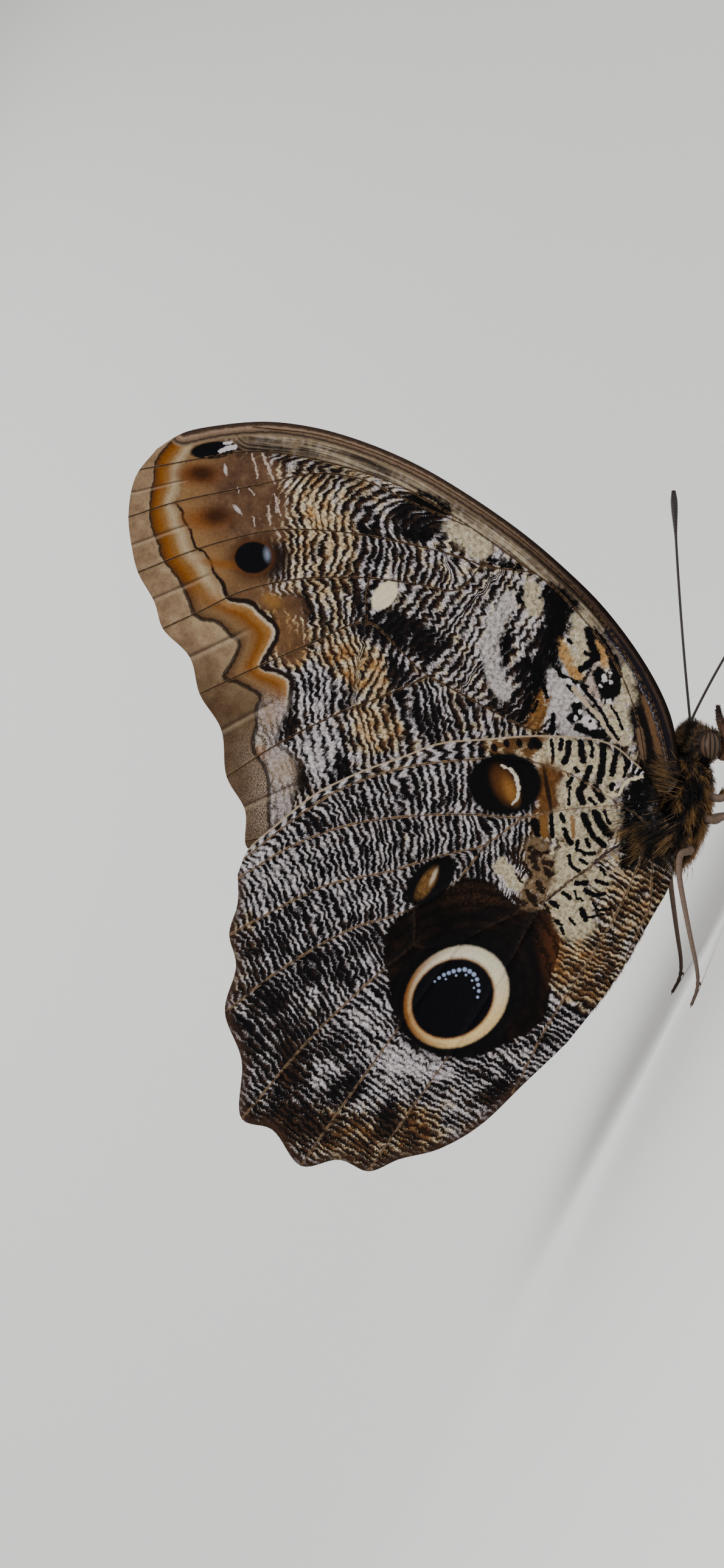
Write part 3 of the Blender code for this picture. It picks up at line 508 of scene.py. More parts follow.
# %% The broad shading of the hindwing
HINDWING_PAINT = (
    (950, 1400, 78, 130, 10, -0.7, 0.42, 0), (930, 1246, 120, 34, 10, -0.9, 0.5, 0),
    (640, 1250, 60, 20, -12, -0.5, 0.4, 0), (1005, 1340, 26, 70, 0, -0.7, 0.45, 0),
    (1010, 1560, 80, 90, 30, -0.05, 0.6, 0), (905, 1545, 20, 60, 0, -0.6, 1, 0.3),
    (930, 1580, 40, 30, 30, -0.1, 0.85, 0), (842, 1448, 40, 22, 45, -1.6, 0.3, 0),
    (870, 1420, 26, 40, 0, 0.43, 0.5, 0), (780, 1425, 40, 24, 0, 0.22, 0.1, 0),
    (535, 1762, 26, 30, 0, -1.2, 0.05, 0), (690, 1748, 64, 22, 10, -1.1, 0.15, 0),
    (640, 1740, 34, 60, -20, -0.5, 0.15, 0), (606, 1818, 22, 34, 0, -0.9, 0.1, 0),
    (760, 1830, 50, 40, 0, -0.4, 0.3, 0), (590, 1862, 60, 26, 10, 0.14, 0.75, 0),
    (438, 1642, 34, 22, 20, 0.86, 0.1, 0), (575, 1788, 34, 22, 0, 1.3, 0, 0),
    (478, 1745, 18, 40, 0, 0.86, 0.7, 0), (520, 1590, 40, 30, 30, 0.58, 0, 0),
    (636, 1842, 20, 30, 0, 1.3, 0, 0), (500, 1835, 60, 26, 20, 0.5, 0.5, 0),
    (690, 1850, 26, 30, 0, 0.07, 0.9, 0), (820, 1795, 34, 20, -20, 1.87, 0.2, 0),
    (590, 1670, 40, 50, 0, -0.35, 0, 0), (425, 1440, 30, 60, 0, -0.3, 0, 0),
    (560, 1450, 60, 50, 0, -0.1, 0, 0), (450, 1850, 50, 30, 30, 0.65, 0.5, 0),
    (470, 1770, 100, 130, 0, 0.62, 0.22, 0), (500, 1560, 120, 60, 0, 0.3, 0.1, 0),
    (430, 1430, 70, 60, 0, -0.4, 0.1, 0), (600, 1860, 130, 50, 0, 0.5, 0.7, 0),
    (960, 1420, 70, 120, 0, 0.1, 0.6, 0), (960, 1590, 50, 60, 0, 0.2, 0.8, 0.1),
    (400, 1560, 30, 90, 0, 0.14, 0.5, 0), (860, 1226, 60, 18, 0, -0.2, 0.9, 1.3),
    (903, 1290, 22, 48, 0, -0.5, 0.95, 1.8), (892, 1352, 20, 24, 0, -0.3, 0.95, 1.5),
    (1045, 1460, 46, 60, 30, 0.1, 0.75, 0), (1075, 1400, 20, 30, 20, 0.5, 0.5, 0),
)
HINDWING_BASE = (0.34, 0.15, 0.0)


def soft_ellipses(net, paint, base):
    """Tone, warmth and plainness at each point of the net."""
    values = np.tile(np.array(base, float), (len(net), 1))
    weight = np.ones(len(net))
    warm = np.full(len(net), base[1], float)
    for px, py, half_long, half_wide, degrees, tone, warmth, plain in paint:
        offset = net - from_photo((px, py))
        right, down = offset @ PHOTO_RIGHT / PHOTO_SCALE, -(offset @ PHOTO_UP) / PHOTO_SCALE
        spin = math.radians(degrees)
        long = (right * math.cos(spin) + down * math.sin(spin)) / half_long
        wide = (-right * math.sin(spin) + down * math.cos(spin)) / half_wide
        share = 1 - smooth_step(0.6, 1.35, np.sqrt(long ** 2 + wide ** 2))
        values[:, 0] += tone * share
        values[:, 2] += plain * share
        warm += 2.5 * share * warmth
        weight += 2.5 * share
    values[:, 1] = warm / weight
    return values


print("soft ellipses:", len(FOREWING_PAINT), "and", len(HINDWING_PAINT))

# %% [markdown]
# Two wavy dark lines run down the outer part of the forewing, with an orange band between them, and a dark
# field surrounds the great eyespot of the hindwing. They are drawn in pixels of the photograph.

# %% The wavy lines and the dark field
OUTER_LINE = spline(from_photo((
    300, 712, 268, 742, 256, 765, 255, 790, 250, 812, 248, 840, 250, 862, 255, 880, 263, 896, 265, 910,
    272, 924, 287, 942, 298, 958, 306, 975, 313, 990, 319, 1009, 334, 1018, 356, 1022, 369, 1031,
    378, 1043, 394, 1056, 392, 1070, 379, 1095, 368, 1114, 392, 1122, 414, 1133, 429, 1144, 422, 1168,
    423, 1190, 417, 1215, 419, 1236, 432, 1254, 441, 1275, 443, 1350)), 0.3)
INNER_LINE = spline(from_photo((
    345, 712, 322, 736, 312, 755, 303, 775, 302, 795, 300, 815, 291, 827, 301, 840, 304, 858, 314, 870,
    318, 887, 324, 901, 338, 909, 348, 925, 354, 943, 367, 958, 372, 976, 380, 985, 414, 991, 428, 1005,
    443, 1018, 456, 1032, 456, 1048, 438, 1080, 431, 1096, 455, 1103, 480, 1117, 480, 1132, 476, 1165,
    463, 1195, 458, 1222, 480, 1240, 492, 1265, 482, 1320)), 0.3)
DARK_FIELD = from_photo((
    677, 1491, 700, 1478, 728, 1462, 754, 1445, 772, 1440, 792, 1441, 815, 1453, 846, 1484, 877, 1488,
    904, 1503, 919, 1534, 919, 1565, 908, 1595, 904, 1622, 900, 1653, 892, 1676, 870, 1694, 846, 1707,
    800, 1730, 761, 1741, 727, 1734, 688, 1722, 658, 1695, 645, 1665, 640, 1641, 638, 1603, 629, 1565,
    635, 1526, 650, 1507))


def wavy_marks(net):
    """Distances to the two wavy lines, positive on the side of the wing's base."""
    outer, outer_side, _ = along_line(net, OUTER_LINE)
    inner, inner_side, _ = along_line(net, INNER_LINE)
    return outer * outer_side, inner * inner_side


def field_marks(net):
    """Distance to the edge of the dark field, below 0 inside it."""
    edge = to_loop(net, DARK_FIELD)
    return np.where(inside_loop(net, DARK_FIELD), -edge, edge), np.zeros(len(net))


# %% [markdown]
# Every mesh is made, kept and shown in the same way. Its points are given in millimetres, the guides for its
# finish are stored on it as attributes, and its places on the bake map belong to the corners of its faces.

# %% Meshes and pieces
HANDS = ((-1, "right"), (1, "left"))


def new_mesh(name, points, faces):
    """A mesh from points in millimetres."""
    mesh = bpy.data.meshes.new(name)
    mesh.from_pydata((points * MM + np.array(MIDDLE)).tolist(), [], faces)
    return mesh


def store(mesh, domain="POINT", **guides):
    """Keeps guides as attributes, three numbers for each point or corner."""
    for label, values in guides.items():
        mesh.attributes.new(label, "FLOAT_VECTOR", domain).data.foreach_set("vector", values.ravel())


def corner_points(mesh):
    """The point that each corner of a face belongs to."""
    corners = np.zeros(len(mesh.loops), int)
    mesh.loops.foreach_get("vertex_index", corners)
    return corners


def show(mesh, nodes=()):
    """Puts a mesh on the body, in place of the named solids."""
    piece = bpy.data.objects.new(mesh.name, mesh)
    bpy.context.scene.collection.objects.link(piece)
    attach(piece, "root")
    if nodes:
        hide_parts(*nodes)
    return piece


# %% [markdown]
# Now the net becomes a mesh. The outer face carries the full ridges of the veins, and the inner face faint
# ones. The pattern's guides are stored on it as attributes: smooth ones on the points, and those that jump
# from cell to cell on the corners of the triangles. The bake map lays both faces side by side.

# %% Making a wing
MEMBRANE = 0.2
FOLD_HEIGHT, FOLD_WIDTH = 0.16, 0.07
MAP_SPACE = (0.62, 0.97)
OUTER_CORNER, INNER_CORNER = (0.012, 0.015), (0.66, 0.015)
RIM_STRIP = 0.004


def corner_guides(net, triangles, label, cells, crests):
    """For each triangle corner: the ripple count, the distance from a vein, and the cell's number plus the
    share of the way between its two veins."""
    guides = np.zeros((len(triangles), 3, 3))
    for number, (_, first, second, period, slant, bow) in enumerate(cells.values()):
        mine = np.flatnonzero(label == number)
        used, back = np.unique(triangles[mine], return_inverse=True)
        d_first, _, s_first = along_line(net[used], crests[first])
        d_second, _, s_second = along_line(net[used], crests[second])
        share = d_first / np.maximum(d_first + d_second, 1e-3)
        share = share if first != second else np.clip(d_first / 4, 0, 1)
        count = 0.5 * (s_first + s_second) / period + slant * share + bow * 4 * share * (1 - share)
        values = np.stack([count, d_first, number + 0.002 + 0.996 * share], 1)
        guides[mine] = values[back.reshape(-1, 3)]
    return guides


def bake_places(net, loop, corners, rim_start):
    """Places on the bake map: the outer face at the left, the inner one half as large at the right, and the
    wing's edge as a thin strip beside the outline."""
    low, size = loop.min(axis=0), loop.max(axis=0) - loop.min(axis=0)
    scale = min(MAP_SPACE[0] / size[0], MAP_SPACE[1] / size[1])
    outer = (net - low) * scale + np.array(OUTER_CORNER)
    inner = (net - low) * (scale * 0.5) + np.array(INNER_CORNER)
    behind, at = (corners >= len(net))[:, None], corners % len(net)
    places = np.where(behind, inner[at], outer[at])
    strip = outer[at[rim_start:]]
    places[rim_start:] = strip + RIM_STRIP * behind[rim_start:] * unit(strip - outer.mean(axis=0))
    return places


def build_wing(name, outline, veins, cells, root, side_of, paint, base, marks):
    """The right-hand and left-hand wing of one kind."""
    loop, net, triangles, crests, blocked = wing_net(outline, veins, root)
    guides = corner_guides(net, triangles, find_cells(net, triangles, blocked, cells), cells, crests)
    to_vein = np.min([along_line(net, crest)[0] for crest in crests.values()], axis=0)
    to_costa, to_margin = (along_line(net, spline(run, OUTLINE_STEP))[0] for run in outline[:2])
    relief = np.cos(np.clip(to_vein / vein_size(net, root, VEIN_HALF_WIDTH), 0, 1) * math.pi / 2) ** 1.2
    relief = relief * vein_size(net, root, VEIN_HEIGHT)
    count, across = len(net), np.zeros(len(net))
    across[triangles.ravel()] = (guides[:, :, 2] % 1.0).ravel()
    fold = FOLD_HEIGHT * np.exp(-((across - 0.5) / FOLD_WIDTH) ** 2) * (1 - smooth_step(3.0, 11.0, to_margin))
    fold *= smooth_step(0.6, 1.4, to_vein)
    middle, nothing = side_of(net), np.zeros(count)
    outer = middle + MEMBRANE / 2 + relief + fold
    inner = middle - MEMBRANE / 2 - 0.3 * relief + 0.8 * fold
    smooth = {"plane": np.stack([*net.T, nothing], 1), "shades": soft_ellipses(net, paint, base),
              "bands": np.stack([*marks(net), to_margin], 1),
              "edges": np.stack([to_vein, to_costa, nothing], 1)}
    smooth = {label: np.vstack([values, values]) for label, values in smooth.items()}
    directed = {pair for a, b, c in triangles.tolist() for pair in ((a, b), (b, c), (c, a))}
    faces = triangles.tolist() + (count + triangles[:, ::-1]).tolist()
    faces += [(b, a, count + a, count + b) for a, b in sorted(directed) if (b, a) not in directed]
    pieces, rim_start = [], 6 * len(triangles)
    for side, hand in HANDS:
        points = np.vstack([np.stack([net[:, 0], side * away, net[:, 1]], 1) for away in (outer, inner)])
        mesh = new_mesh(f"{name}_{hand}_scales", points, faces if side < 0 else [f[::-1] for f in faces])
        mesh.shade_smooth()
        store(mesh, **smooth)
        ripple = np.zeros((len(mesh.loops), 3))
        ripple[:rim_start] = np.vstack([guides, guides[:, ::-1]][::-side]).reshape(-1, 3)
        store(mesh, "CORNER", ripple=ripple)
        places = bake_places(net, loop, corner_points(mesh), rim_start)
        mesh.uv_layers.new(name="OFBake").data.foreach_set("uv", places.ravel())
        slots = np.zeros(len(mesh.polygons), int)
        slots[len(triangles):2 * len(triangles)] = 1
        mesh.polygons.foreach_set("material_index", slots)
        pieces.append(show(mesh, [f"{name}_{hand}"]))
    print(name, "points:", count, "triangles in each face:", len(triangles))
    return pieces


forewings = build_wing("forewing", (FOREWING_COSTA, FOREWING_MARGIN, FOREWING_INNER), FOREWING_VEINS,
                       FOREWING_CELLS, (1.5, 5.0), forewing_side, FOREWING_PAINT, FOREWING_BASE, wavy_marks)
hindwings = build_wing("hindwing", (HINDWING_COSTA, HINDWING_MARGIN, HINDWING_INNER), HINDWING_VEINS,
                       HINDWING_CELLS, (-4.0, 1.0), hindwing_side, HINDWING_PAINT, HINDWING_BASE, field_marks)

# %% [markdown]
# A material is a graph of nodes. A small helper that adds nodes and joins them keeps the graphs readable:
# each call returns a socket, so a finish can be written like a sum.

# %% A helper for node graphs
VALUE, VECTOR, COLOUR = "NodeSocketFloat", "NodeSocketVector", "NodeSocketColor"


class Wires:
    """Adds nodes to one tree. Values may be numbers, colours or sockets."""

    def __init__(self, tree):
        self.tree = tree

    def join(self, value, socket):
        if isinstance(value, bpy.types.NodeSocket):
            self.tree.links.new(value, socket)
        elif value is not None:
            socket.default_value = value

    def put(self, kind, *values, **settings):
        """A new node with its settings, and values for its sockets in their order."""
        node = self.tree.nodes.new("ShaderNode" + kind)
        for key, value in settings.items():
            setattr(node, key, value)
        for value, socket in zip(values, node.inputs):
            self.join(value, socket)
        return node

    def fill(self, node, **values):
        """Values for the named sockets of a node, with underscores for spaces. Returns what comes out."""
        for label, value in values.items():
            self.join(value, node.inputs[label.replace("_", " ")])
        return node.outputs

    def math(self, operation, *values):
        return self.put("Math", *values, operation=operation).outputs[0]

    def times(self, first, second):
        return self.math("MULTIPLY", first, second)

    def scaled(self, value, factor, added):
        """A value times a factor, and something added."""
        return self.math("MULTIPLY_ADD", value, factor, added)

    def vector(self, operation, *values):
        return self.put("VectorMath", *values, operation=operation).outputs[0]

    def measure(self, operation, *values):
        """A number from vectors, such as a length."""
        return self.put("VectorMath", *values, operation=operation).outputs["Value"]

    def blend(self, amount, first, second, kind="MIX"):
        node = self.put("Mix", amount, *[None] * 5, first, second, data_type="RGBA", blend_type=kind)
        return node.outputs[2]

    def tinted(self, first, second):
        return self.blend(1.0, first, second, "MULTIPLY")

    def step(self, value, low, high, start=0.0, end=1.0):
        return self.put("MapRange", value, low, high, start, end, interpolation_type="SMOOTHSTEP").outputs[0]

    def ramp(self, value, *stops):
        node = self.put("ValToRGB", value)
        marks = node.color_ramp.elements
        while len(marks) < len(stops):
            marks.new(0.5)
        for mark, (spot, colour) in zip(marks, stops):
            mark.position = spot
            mark.color = colour
        return node.outputs[0]

    def noise(self, vector, scale, detail=2.0, roughness=0.5, output=0):
        node = self.put("TexNoise")
        return self.fill(node, Vector=vector, Scale=scale, Detail=detail, Roughness=roughness)[output]

    def centred(self, *settings):
        """A noise around 0."""
        return self.math("SUBTRACT", self.noise(*settings), 0.5)

    def bump(self, height, strength, distance):
        return self.fill(self.put("Bump"), Strength=strength, Distance=distance, Height=height)[0]

    def guide(self, label):
        """A stored guide."""
        return self.put("Attribute", attribute_name=label).outputs["Vector"]

    def parts(self, vector):
        """The three numbers of a vector, or of the guide with that name."""
        vector = self.guide(vector) if isinstance(vector, str) else vector
        return self.put("SeparateXYZ", vector).outputs

    def use(self, group, **values):
        return self.fill(self.put("Group", node_tree=group), **values)

    def shade(self, **values):
        """Values for the shader itself."""
        self.fill(self.tree.nodes["Principled BSDF"], **values)


def new_group(label, inputs, outputs):
    """An empty node group and the wires to fill it. An input is a kind of socket, or its first number."""
    tree = bpy.data.node_groups.new(label, "ShaderNodeTree")
    for name, start in inputs.items():
        kind = start if isinstance(start, str) else VALUE
        socket = tree.interface.new_socket(name, in_out="INPUT", socket_type=kind)
        if kind == VALUE:
            socket.default_value = start
    for name, kind in outputs.items():
        tree.interface.new_socket(name, in_out="OUTPUT", socket_type=kind)
    return Wires(tree), tree.nodes.new("NodeGroupInput").outputs, tree.nodes.new("NodeGroupOutput").inputs


def new_material(label):
    """A material, and the wires to its tree."""
    made = bpy.data.materials.new(label)
    made.use_nodes = True
    return made, Wires(made.node_tree)


def rgb(red, green, blue):
    """A colour as a screen shows it, 0 to 255, as the linear colour that a shader wants."""
    linear = [c / 255 / 12.92 if c <= 10 else ((c / 255 + 0.055) / 1.055) ** 2.4 for c in (red, green, blue)]
    return (*linear, 1.0)


# %% [markdown]
# The ripples are a sine wave of the stored ripple count. Noise that is stretched along the stripes bends and
# breaks them, finer noise frays their edges, and the tone shifts the border between dark and light, so that
# one group makes thin threads, even stripes and solid patches.

# %% The ripple group
wires, given, result = new_group("Ripples", {"Plane": VECTOR, "Guide": VECTOR, "Tone": 0.0, "Fray": 1.0},
                                 {"Dark": VALUE, "Flank": VALUE, "Across": VALUE})
count, millimetres, cell = wires.parts(given["Guide"])
apart = wires.times(wires.math("FLOOR", cell), 37.3)
stripe_space = wires.put("CombineXYZ", count, millimetres, apart).outputs[0]


def stripe_noise(per_stripe, per_millimetre, detail=1.0):
    stretched = wires.vector("MULTIPLY", stripe_space, (per_stripe, per_millimetre, 1.0))
    return wires.centred(stretched, 1.0, detail)


slow, kink, gaps = stripe_noise(0.16, 0.10), stripe_noise(0.5, 1.5, 2.0), stripe_noise(0.8, 0.5)
ragged, speck = (wires.centred(given["Plane"], *settings) for settings in ((5.2, 3.0, 0.7), (13.0, 2.0, 0.7)))
drift = wires.scaled(slow, 3.0, wires.times(kink, 1.5))
turned = wires.times(wires.math("ADD", count, drift), 2 * math.pi)
beside = wires.scaled(ragged, 1.8, wires.math("SINE", wires.math("ADD", turned, 1.4)))
wave = wires.math("SINE", turned)
for noise, amount in ((wires.times(ragged, given["Fray"]), 3.7), (gaps, 3.8), (speck, 2.6)):
    wave = wires.scaled(noise, amount, wave)
wires.join(wires.step(wires.math("ADD", wave, given["Tone"]), -0.95, 0.45), result["Dark"])
wires.join(wires.step(beside, -0.1, 0.9), result["Flank"])
wires.join(wires.math("FRACT", cell), result["Across"])
ripples = wires.tree
print("ripple nodes:", len(ripples.nodes))

# %% [markdown]
# Scales lie on a butterfly's wing like tiles, a tenth of a millimetre wide. Each has its own shade, and their
# rows catch the light. The group gives a grain to multiply into the colour and a height for the bump.

# %% The scale group
wires, given, result = new_group("Scale Grain", {"Plane": VECTOR, "Rows": 7.0},
                                 {"Grain": VALUE, "Height": VALUE})
tiles = wires.fill(wires.put("TexVoronoi", feature="F1"), Vector=given["Plane"], Scale=given["Rows"])
shade = wires.put("SeparateColor", tiles["Color"]).outputs
clumps = wires.noise(given["Plane"], 2.2, 3.0, 0.6)
wires.join(wires.scaled(shade[0], 0.36, wires.scaled(clumps, 0.5, 0.57)), result["Grain"])
wires.join(wires.scaled(tiles["Distance"], -0.7, shade[1]), result["Height"])
scale_grain = wires.tree

# %% [markdown]
# Every eyespot is measured in the same way: how far a point lies from the middle of a turned ellipse, where
# 1 is its edge. Rings, pupils and crescents are then ranges of that one number.

# %% The eyespot group
wires, given, result = new_group("Round Spot", {"Plane": VECTOR, "Middle": VECTOR, "Turn": 0.0, "Size": VECTOR,
                                                "Wobble": 0.1}, {"Distance": VALUE})
uneven = wires.centred(given["Plane"], 1.6, 3.0, 0.6)
offset = wires.vector("SUBTRACT", given["Plane"], given["Middle"])
spun = wires.fill(wires.put("VectorRotate", rotation_type="Z_AXIS"), Vector=offset, Angle=given["Turn"])[0]
reach = wires.measure("LENGTH", wires.vector("DIVIDE", spun, given["Size"]))
wires.join(wires.scaled(uneven, given["Wobble"], reach), result["Distance"])
round_spot = wires.tree

# %% [markdown]
# Bars, hooks and dots near the wing's root are drawn as strokes with round ends. The group measures how far
# a point lies from a straight piece of such a stroke.

# %% The stroke group
wires, given, result = new_group("Stroke", {"Plane": VECTOR, "Start": VECTOR, "Span": VECTOR},
                                 {"Distance": VALUE})
offset = wires.vector("SUBTRACT", given["Plane"], given["Start"])
share = wires.math("DIVIDE", wires.measure("DOT_PRODUCT", offset, given["Span"]),
                   wires.measure("DOT_PRODUCT", given["Span"], given["Span"]))
share = wires.math("MINIMUM", wires.math("MAXIMUM", share, 0.0), 1.0)
nearest = wires.fill(wires.put("VectorMath", operation="SCALE"), Vector=given["Span"], Scale=share)[0]
wires.join(wires.measure("LENGTH", wires.vector("SUBTRACT", offset, nearest)), result["Distance"])
stroke_group = wires.tree

# %% [markdown]
# A wing is painted like a canvas, one layer over the other. A small class keeps its wires, its plane and the
# colour so far, and lays on ellipses, strokes and veins, all in pixels of the photograph. The scales come
# last.

# %% The painting of a wing
WHITE, NOTHING = rgb(255, 255, 255), (0, 0, 0, 1)


class Painting:
    """A wing's colour while it grows."""

    def __init__(self, wires, plane, colour=None):
        self.wires, self.plane, self.colour = wires, plane, colour

    def lay(self, amount, ink):
        self.colour = self.wires.blend(amount, self.colour, ink)

    def below(self, top, bottom):
        """0 above one level of the photograph and 1 below another."""
        level = self.wires.measure("DOT_PRODUCT", self.plane, (*PHOTO_UP, 0.0))
        low, high = ((PHOTO_ORIGIN[1] - edge) * PHOTO_SCALE for edge in (bottom, top))
        return self.wires.step(level, low, high, 1.0, 0.0)

    def away(self, px, py, half_long, half_wide, degrees, wobble):
        """Distance from an ellipse, with its turn seen in the photograph."""
        turn = math.radians(degrees) - math.atan2(PHOTO_RIGHT[1], PHOTO_RIGHT[0])
        size = (half_long * PHOTO_SCALE, half_wide * PHOTO_SCALE, 1.0)
        return self.wires.use(round_spot, Plane=self.plane, Middle=(*from_photo((px, py))[0], 0.0),
                              Turn=turn, Size=size, Wobble=wobble)["Distance"]

    def inside(self, distance, soft, edge=1.0):
        return self.wires.step(distance, edge - soft, edge + soft, 1.0, 0.0)

    def spot(self, spot, ink, edge=1.0, soft=0.1, strength=1.0):
        """One ellipse: middle, half length, half width, turn and wobble."""
        inside = self.inside(self.away(*spot), soft, edge)
        self.lay(self.wires.times(inside, strength), ink)

    def spots(self, *rows):
        for row in rows:
            self.spot(*row)

    def torn(self, scale, amount):
        """The plane, shaken by a fine noise, so that what is drawn on it has torn edges."""
        noise = self.wires.noise(self.plane, scale, 3.0, 0.65, output="Color")
        shaken = self.wires.vector("SUBTRACT", noise, (0.5, 0.5, 0.5))
        return self.wires.vector("MULTIPLY_ADD", shaken, (amount, amount, 0.0), self.plane)

    def stroke(self, plane, ink, line, soft=0.22, strength=1.0, tint=None):
        """A line: its half width, then the points it runs through, or only one for a dot."""
        ink = self.wires.tinted(ink, tint) if tint else ink
        places = from_photo(line[1:])
        if len(places) == 1:
            places = np.vstack([places, places + 0.01])
        near = None
        for start, end in zip(places, places[1:]):
            away = self.wires.use(stroke_group, Plane=plane, Start=(*start, 0.0), Span=(*(end - start), 0.0))
            near = self.wires.math("MINIMUM", near, away["Distance"]) if near else away["Distance"]
        reach = line[0] * PHOTO_SCALE
        self.lay(self.wires.step(near, reach * (1 - soft), reach * (1 + soft), strength, 0.0), ink)

    def strokes(self, plane, table, **looks):
        """Rows of one ink and its lines."""
        for ink, *lines in table:
            for line in lines:
                self.stroke(plane, ink, line, **looks)

    def fields(self, table, tear, grit_start, least):
        """Torn fields of gritty scales. Returns their mottled tint."""
        torn = self.torn(1.0, tear)
        mottle = self.wires.noise(self.plane, 1.9, 4.0, 0.7)
        tint = self.wires.ramp(mottle, (0.34, rgb(158, 148, 140)), (0.6, WHITE))
        grain = self.wires.noise(self.plane, 1.2, 4.0, 0.7)
        grit = self.wires.step(grain, grit_start, grit_start + 0.14, least, 1.0)
        self.strokes(torn, table, soft=0.3, strength=grit, tint=tint)
        return tint

    def veins(self, to_vein, core, flank, strength):
        """A thin dark core with broken, lighter flanks along every vein."""
        flecks = self.wires.step(self.wires.noise(self.plane, 1.8, 2.0), 0.38, 0.6)
        self.lay(self.wires.times(self.wires.step(to_vein, 0.1, 0.21, strength, 0.0), flecks), flank)
        self.lay(self.wires.step(to_vein, 0.04, 0.11, strength, 0.0), core)

    def finish(self):
        """Grain and relief of the scales, and the way to the shader."""
        grain = self.wires.use(scale_grain, Plane=self.plane, Rows=7.5)
        shades = self.wires.ramp(grain["Grain"], (0.3, rgb(104, 104, 104)), (1.0, rgb(242, 242, 242)))
        self.wires.shade(Base_Color=self.wires.tinted(self.colour, shades),
                         Roughness=self.wires.step(grain["Grain"], 0.4, 1.2, 0.9, 0.62),
                         Normal=self.wires.bump(grain["Height"], 0.35, 0.00004), Specular_IOR_Level=0.06)


# %% [markdown]
# The ground of both wings is alike: ripples between a light and a dark colour, each with its own warmth,
# under plain patches. What differs is laid over it.

# %% The ground of the wings
FROST, CREAM, OCHRE, RUST = rgb(204, 196, 198), rgb(220, 202, 166), rgb(188, 144, 90), rgb(116, 70, 34)
BLACK, BROWN_BLACK, DEEP_BROWN = rgb(4, 4, 7), rgb(14, 9, 8), rgb(46, 27, 16)


def rippled_ground(label, field_stops, fray_height=None):
    """A material, its painting with the rippled ground, and guides that the rest of the pattern needs."""
    material, wires = new_material(label)
    plane, guide = wires.guide("plane"), wires.guide("ripple")
    art = Painting(wires, plane)
    tone, warmth, plain = wires.parts("shades")
    cloud, wobble = wires.noise(plane, 0.5, 3.0, 0.6), wires.centred(plane, 1.4, 3.0, 0.6)
    plain = wires.scaled(wobble, 0.9, plain)
    tone = wires.scaled(wires.centred(plane, 0.32, 2.0, 0.6), 1.6, tone)
    tone = wires.scaled(wires.centred(plane, 1.1, 2.0), 1.8, tone)
    fray = wires.scaled(art.below(*fray_height), 0.8, 1.0) if fray_height else 1.0
    rippled = wires.use(ripples, Plane=plane, Guide=guide, Fray=fray,
                        Tone=wires.scaled(wires.step(plain, 0.2, 1.3), 1.2, tone))
    patchy = wires.scaled(wires.centred(plane, 0.7, 3.0), 1.1, warmth)
    light = wires.ramp(patchy, (0.0, FROST), (0.30, FROST), (0.50, CREAM), (0.78, OCHRE), (1.0, RUST))
    deep = wires.ramp(patchy, (0.0, BLACK), (0.5, BROWN_BLACK), (1.0, DEEP_BROWN))
    flank = wires.ramp(patchy, (0.15, rgb(16, 12, 12)), (0.5, rgb(54, 36, 25)), (0.95, rgb(98, 64, 34)))
    field = wires.ramp(cloud, *field_stops)
    deep = wires.blend(wires.step(plain, 0.15, 0.6), wires.blend(rippled["Flank"], deep, flank), field)
    flicker = wires.ramp(wires.noise(plane, 2.2, 3.0, 0.7), (0.36, rgb(150, 144, 144)), (0.6, WHITE))
    light = wires.blend(wires.step(plain, 1.15, 1.5), wires.tinted(light, flicker), field)
    art.colour = wires.blend(rippled["Dark"], light, deep)
    return material, art, cloud, wobble, rippled["Across"]


# %% [markdown]
# These marks are drawn in pixels of the photograph: colour, half width, then the points of the line.
# First come the pale fields, then the black bars on them, then the small dots and the veins.

# %% The marks at the root of the forewing
CREAM_SCALES, FROST_SCALES, ROSE_SCALES = rgb(190, 178, 148), rgb(190, 184, 182), rgb(182, 164, 152)
DIM_SCALES = rgb(166, 148, 136)
GOLD_SCALES, INK, UMBER = rgb(174, 134, 82), rgb(5, 4, 6), rgb(34, 21, 15)
FOREWING_FIELDS = (
    (CREAM_SCALES, (19, 750, 868, 790, 902), (13, 872, 968, 878, 1000)),
    (FROST_SCALES, (13, 840, 984, 816, 1022, 806, 1060, 812, 1108, 828, 1140)),
    (CREAM_SCALES, (18, 951, 1022, 958, 1058, 948, 1080), (16, 1024, 1112, 1028, 1160, 1022, 1208),
     (13, 1003, 1168, 1010, 1204)),
    (FROST_SCALES, (27, 932, 1140, 946, 1192), (17, 918, 1106, 924, 1150), (10, 904, 1136, 908, 1162)),
    (ROSE_SCALES, (7, 980, 1096, 966, 1142), (6, 983, 1124, 974, 1152), (6, 986, 1158, 985, 1170)),
    (rgb(120, 82, 40), (14, 890, 1146, 878, 1184)),
    (GOLD_SCALES, (8, 921, 1050, 931, 1082, 946, 1112), (9, 985, 1060, 994, 1086)),
    (INK, (13, 692, 818, 728, 838), (9, 676, 882, 716, 878), (7, 808, 920, 852, 934),
     (20, 915, 984, 918, 1030), (15, 905, 974, 938, 996), (15, 912, 1030, 907, 1062),
     (11, 906, 1062, 913, 1092), (12, 876, 1088, 886, 1108, 876, 1134), (9, 872, 1146, 858, 1184),
     (6, 853, 972, 857, 990), (6, 838, 1040, 832, 1086)),
)
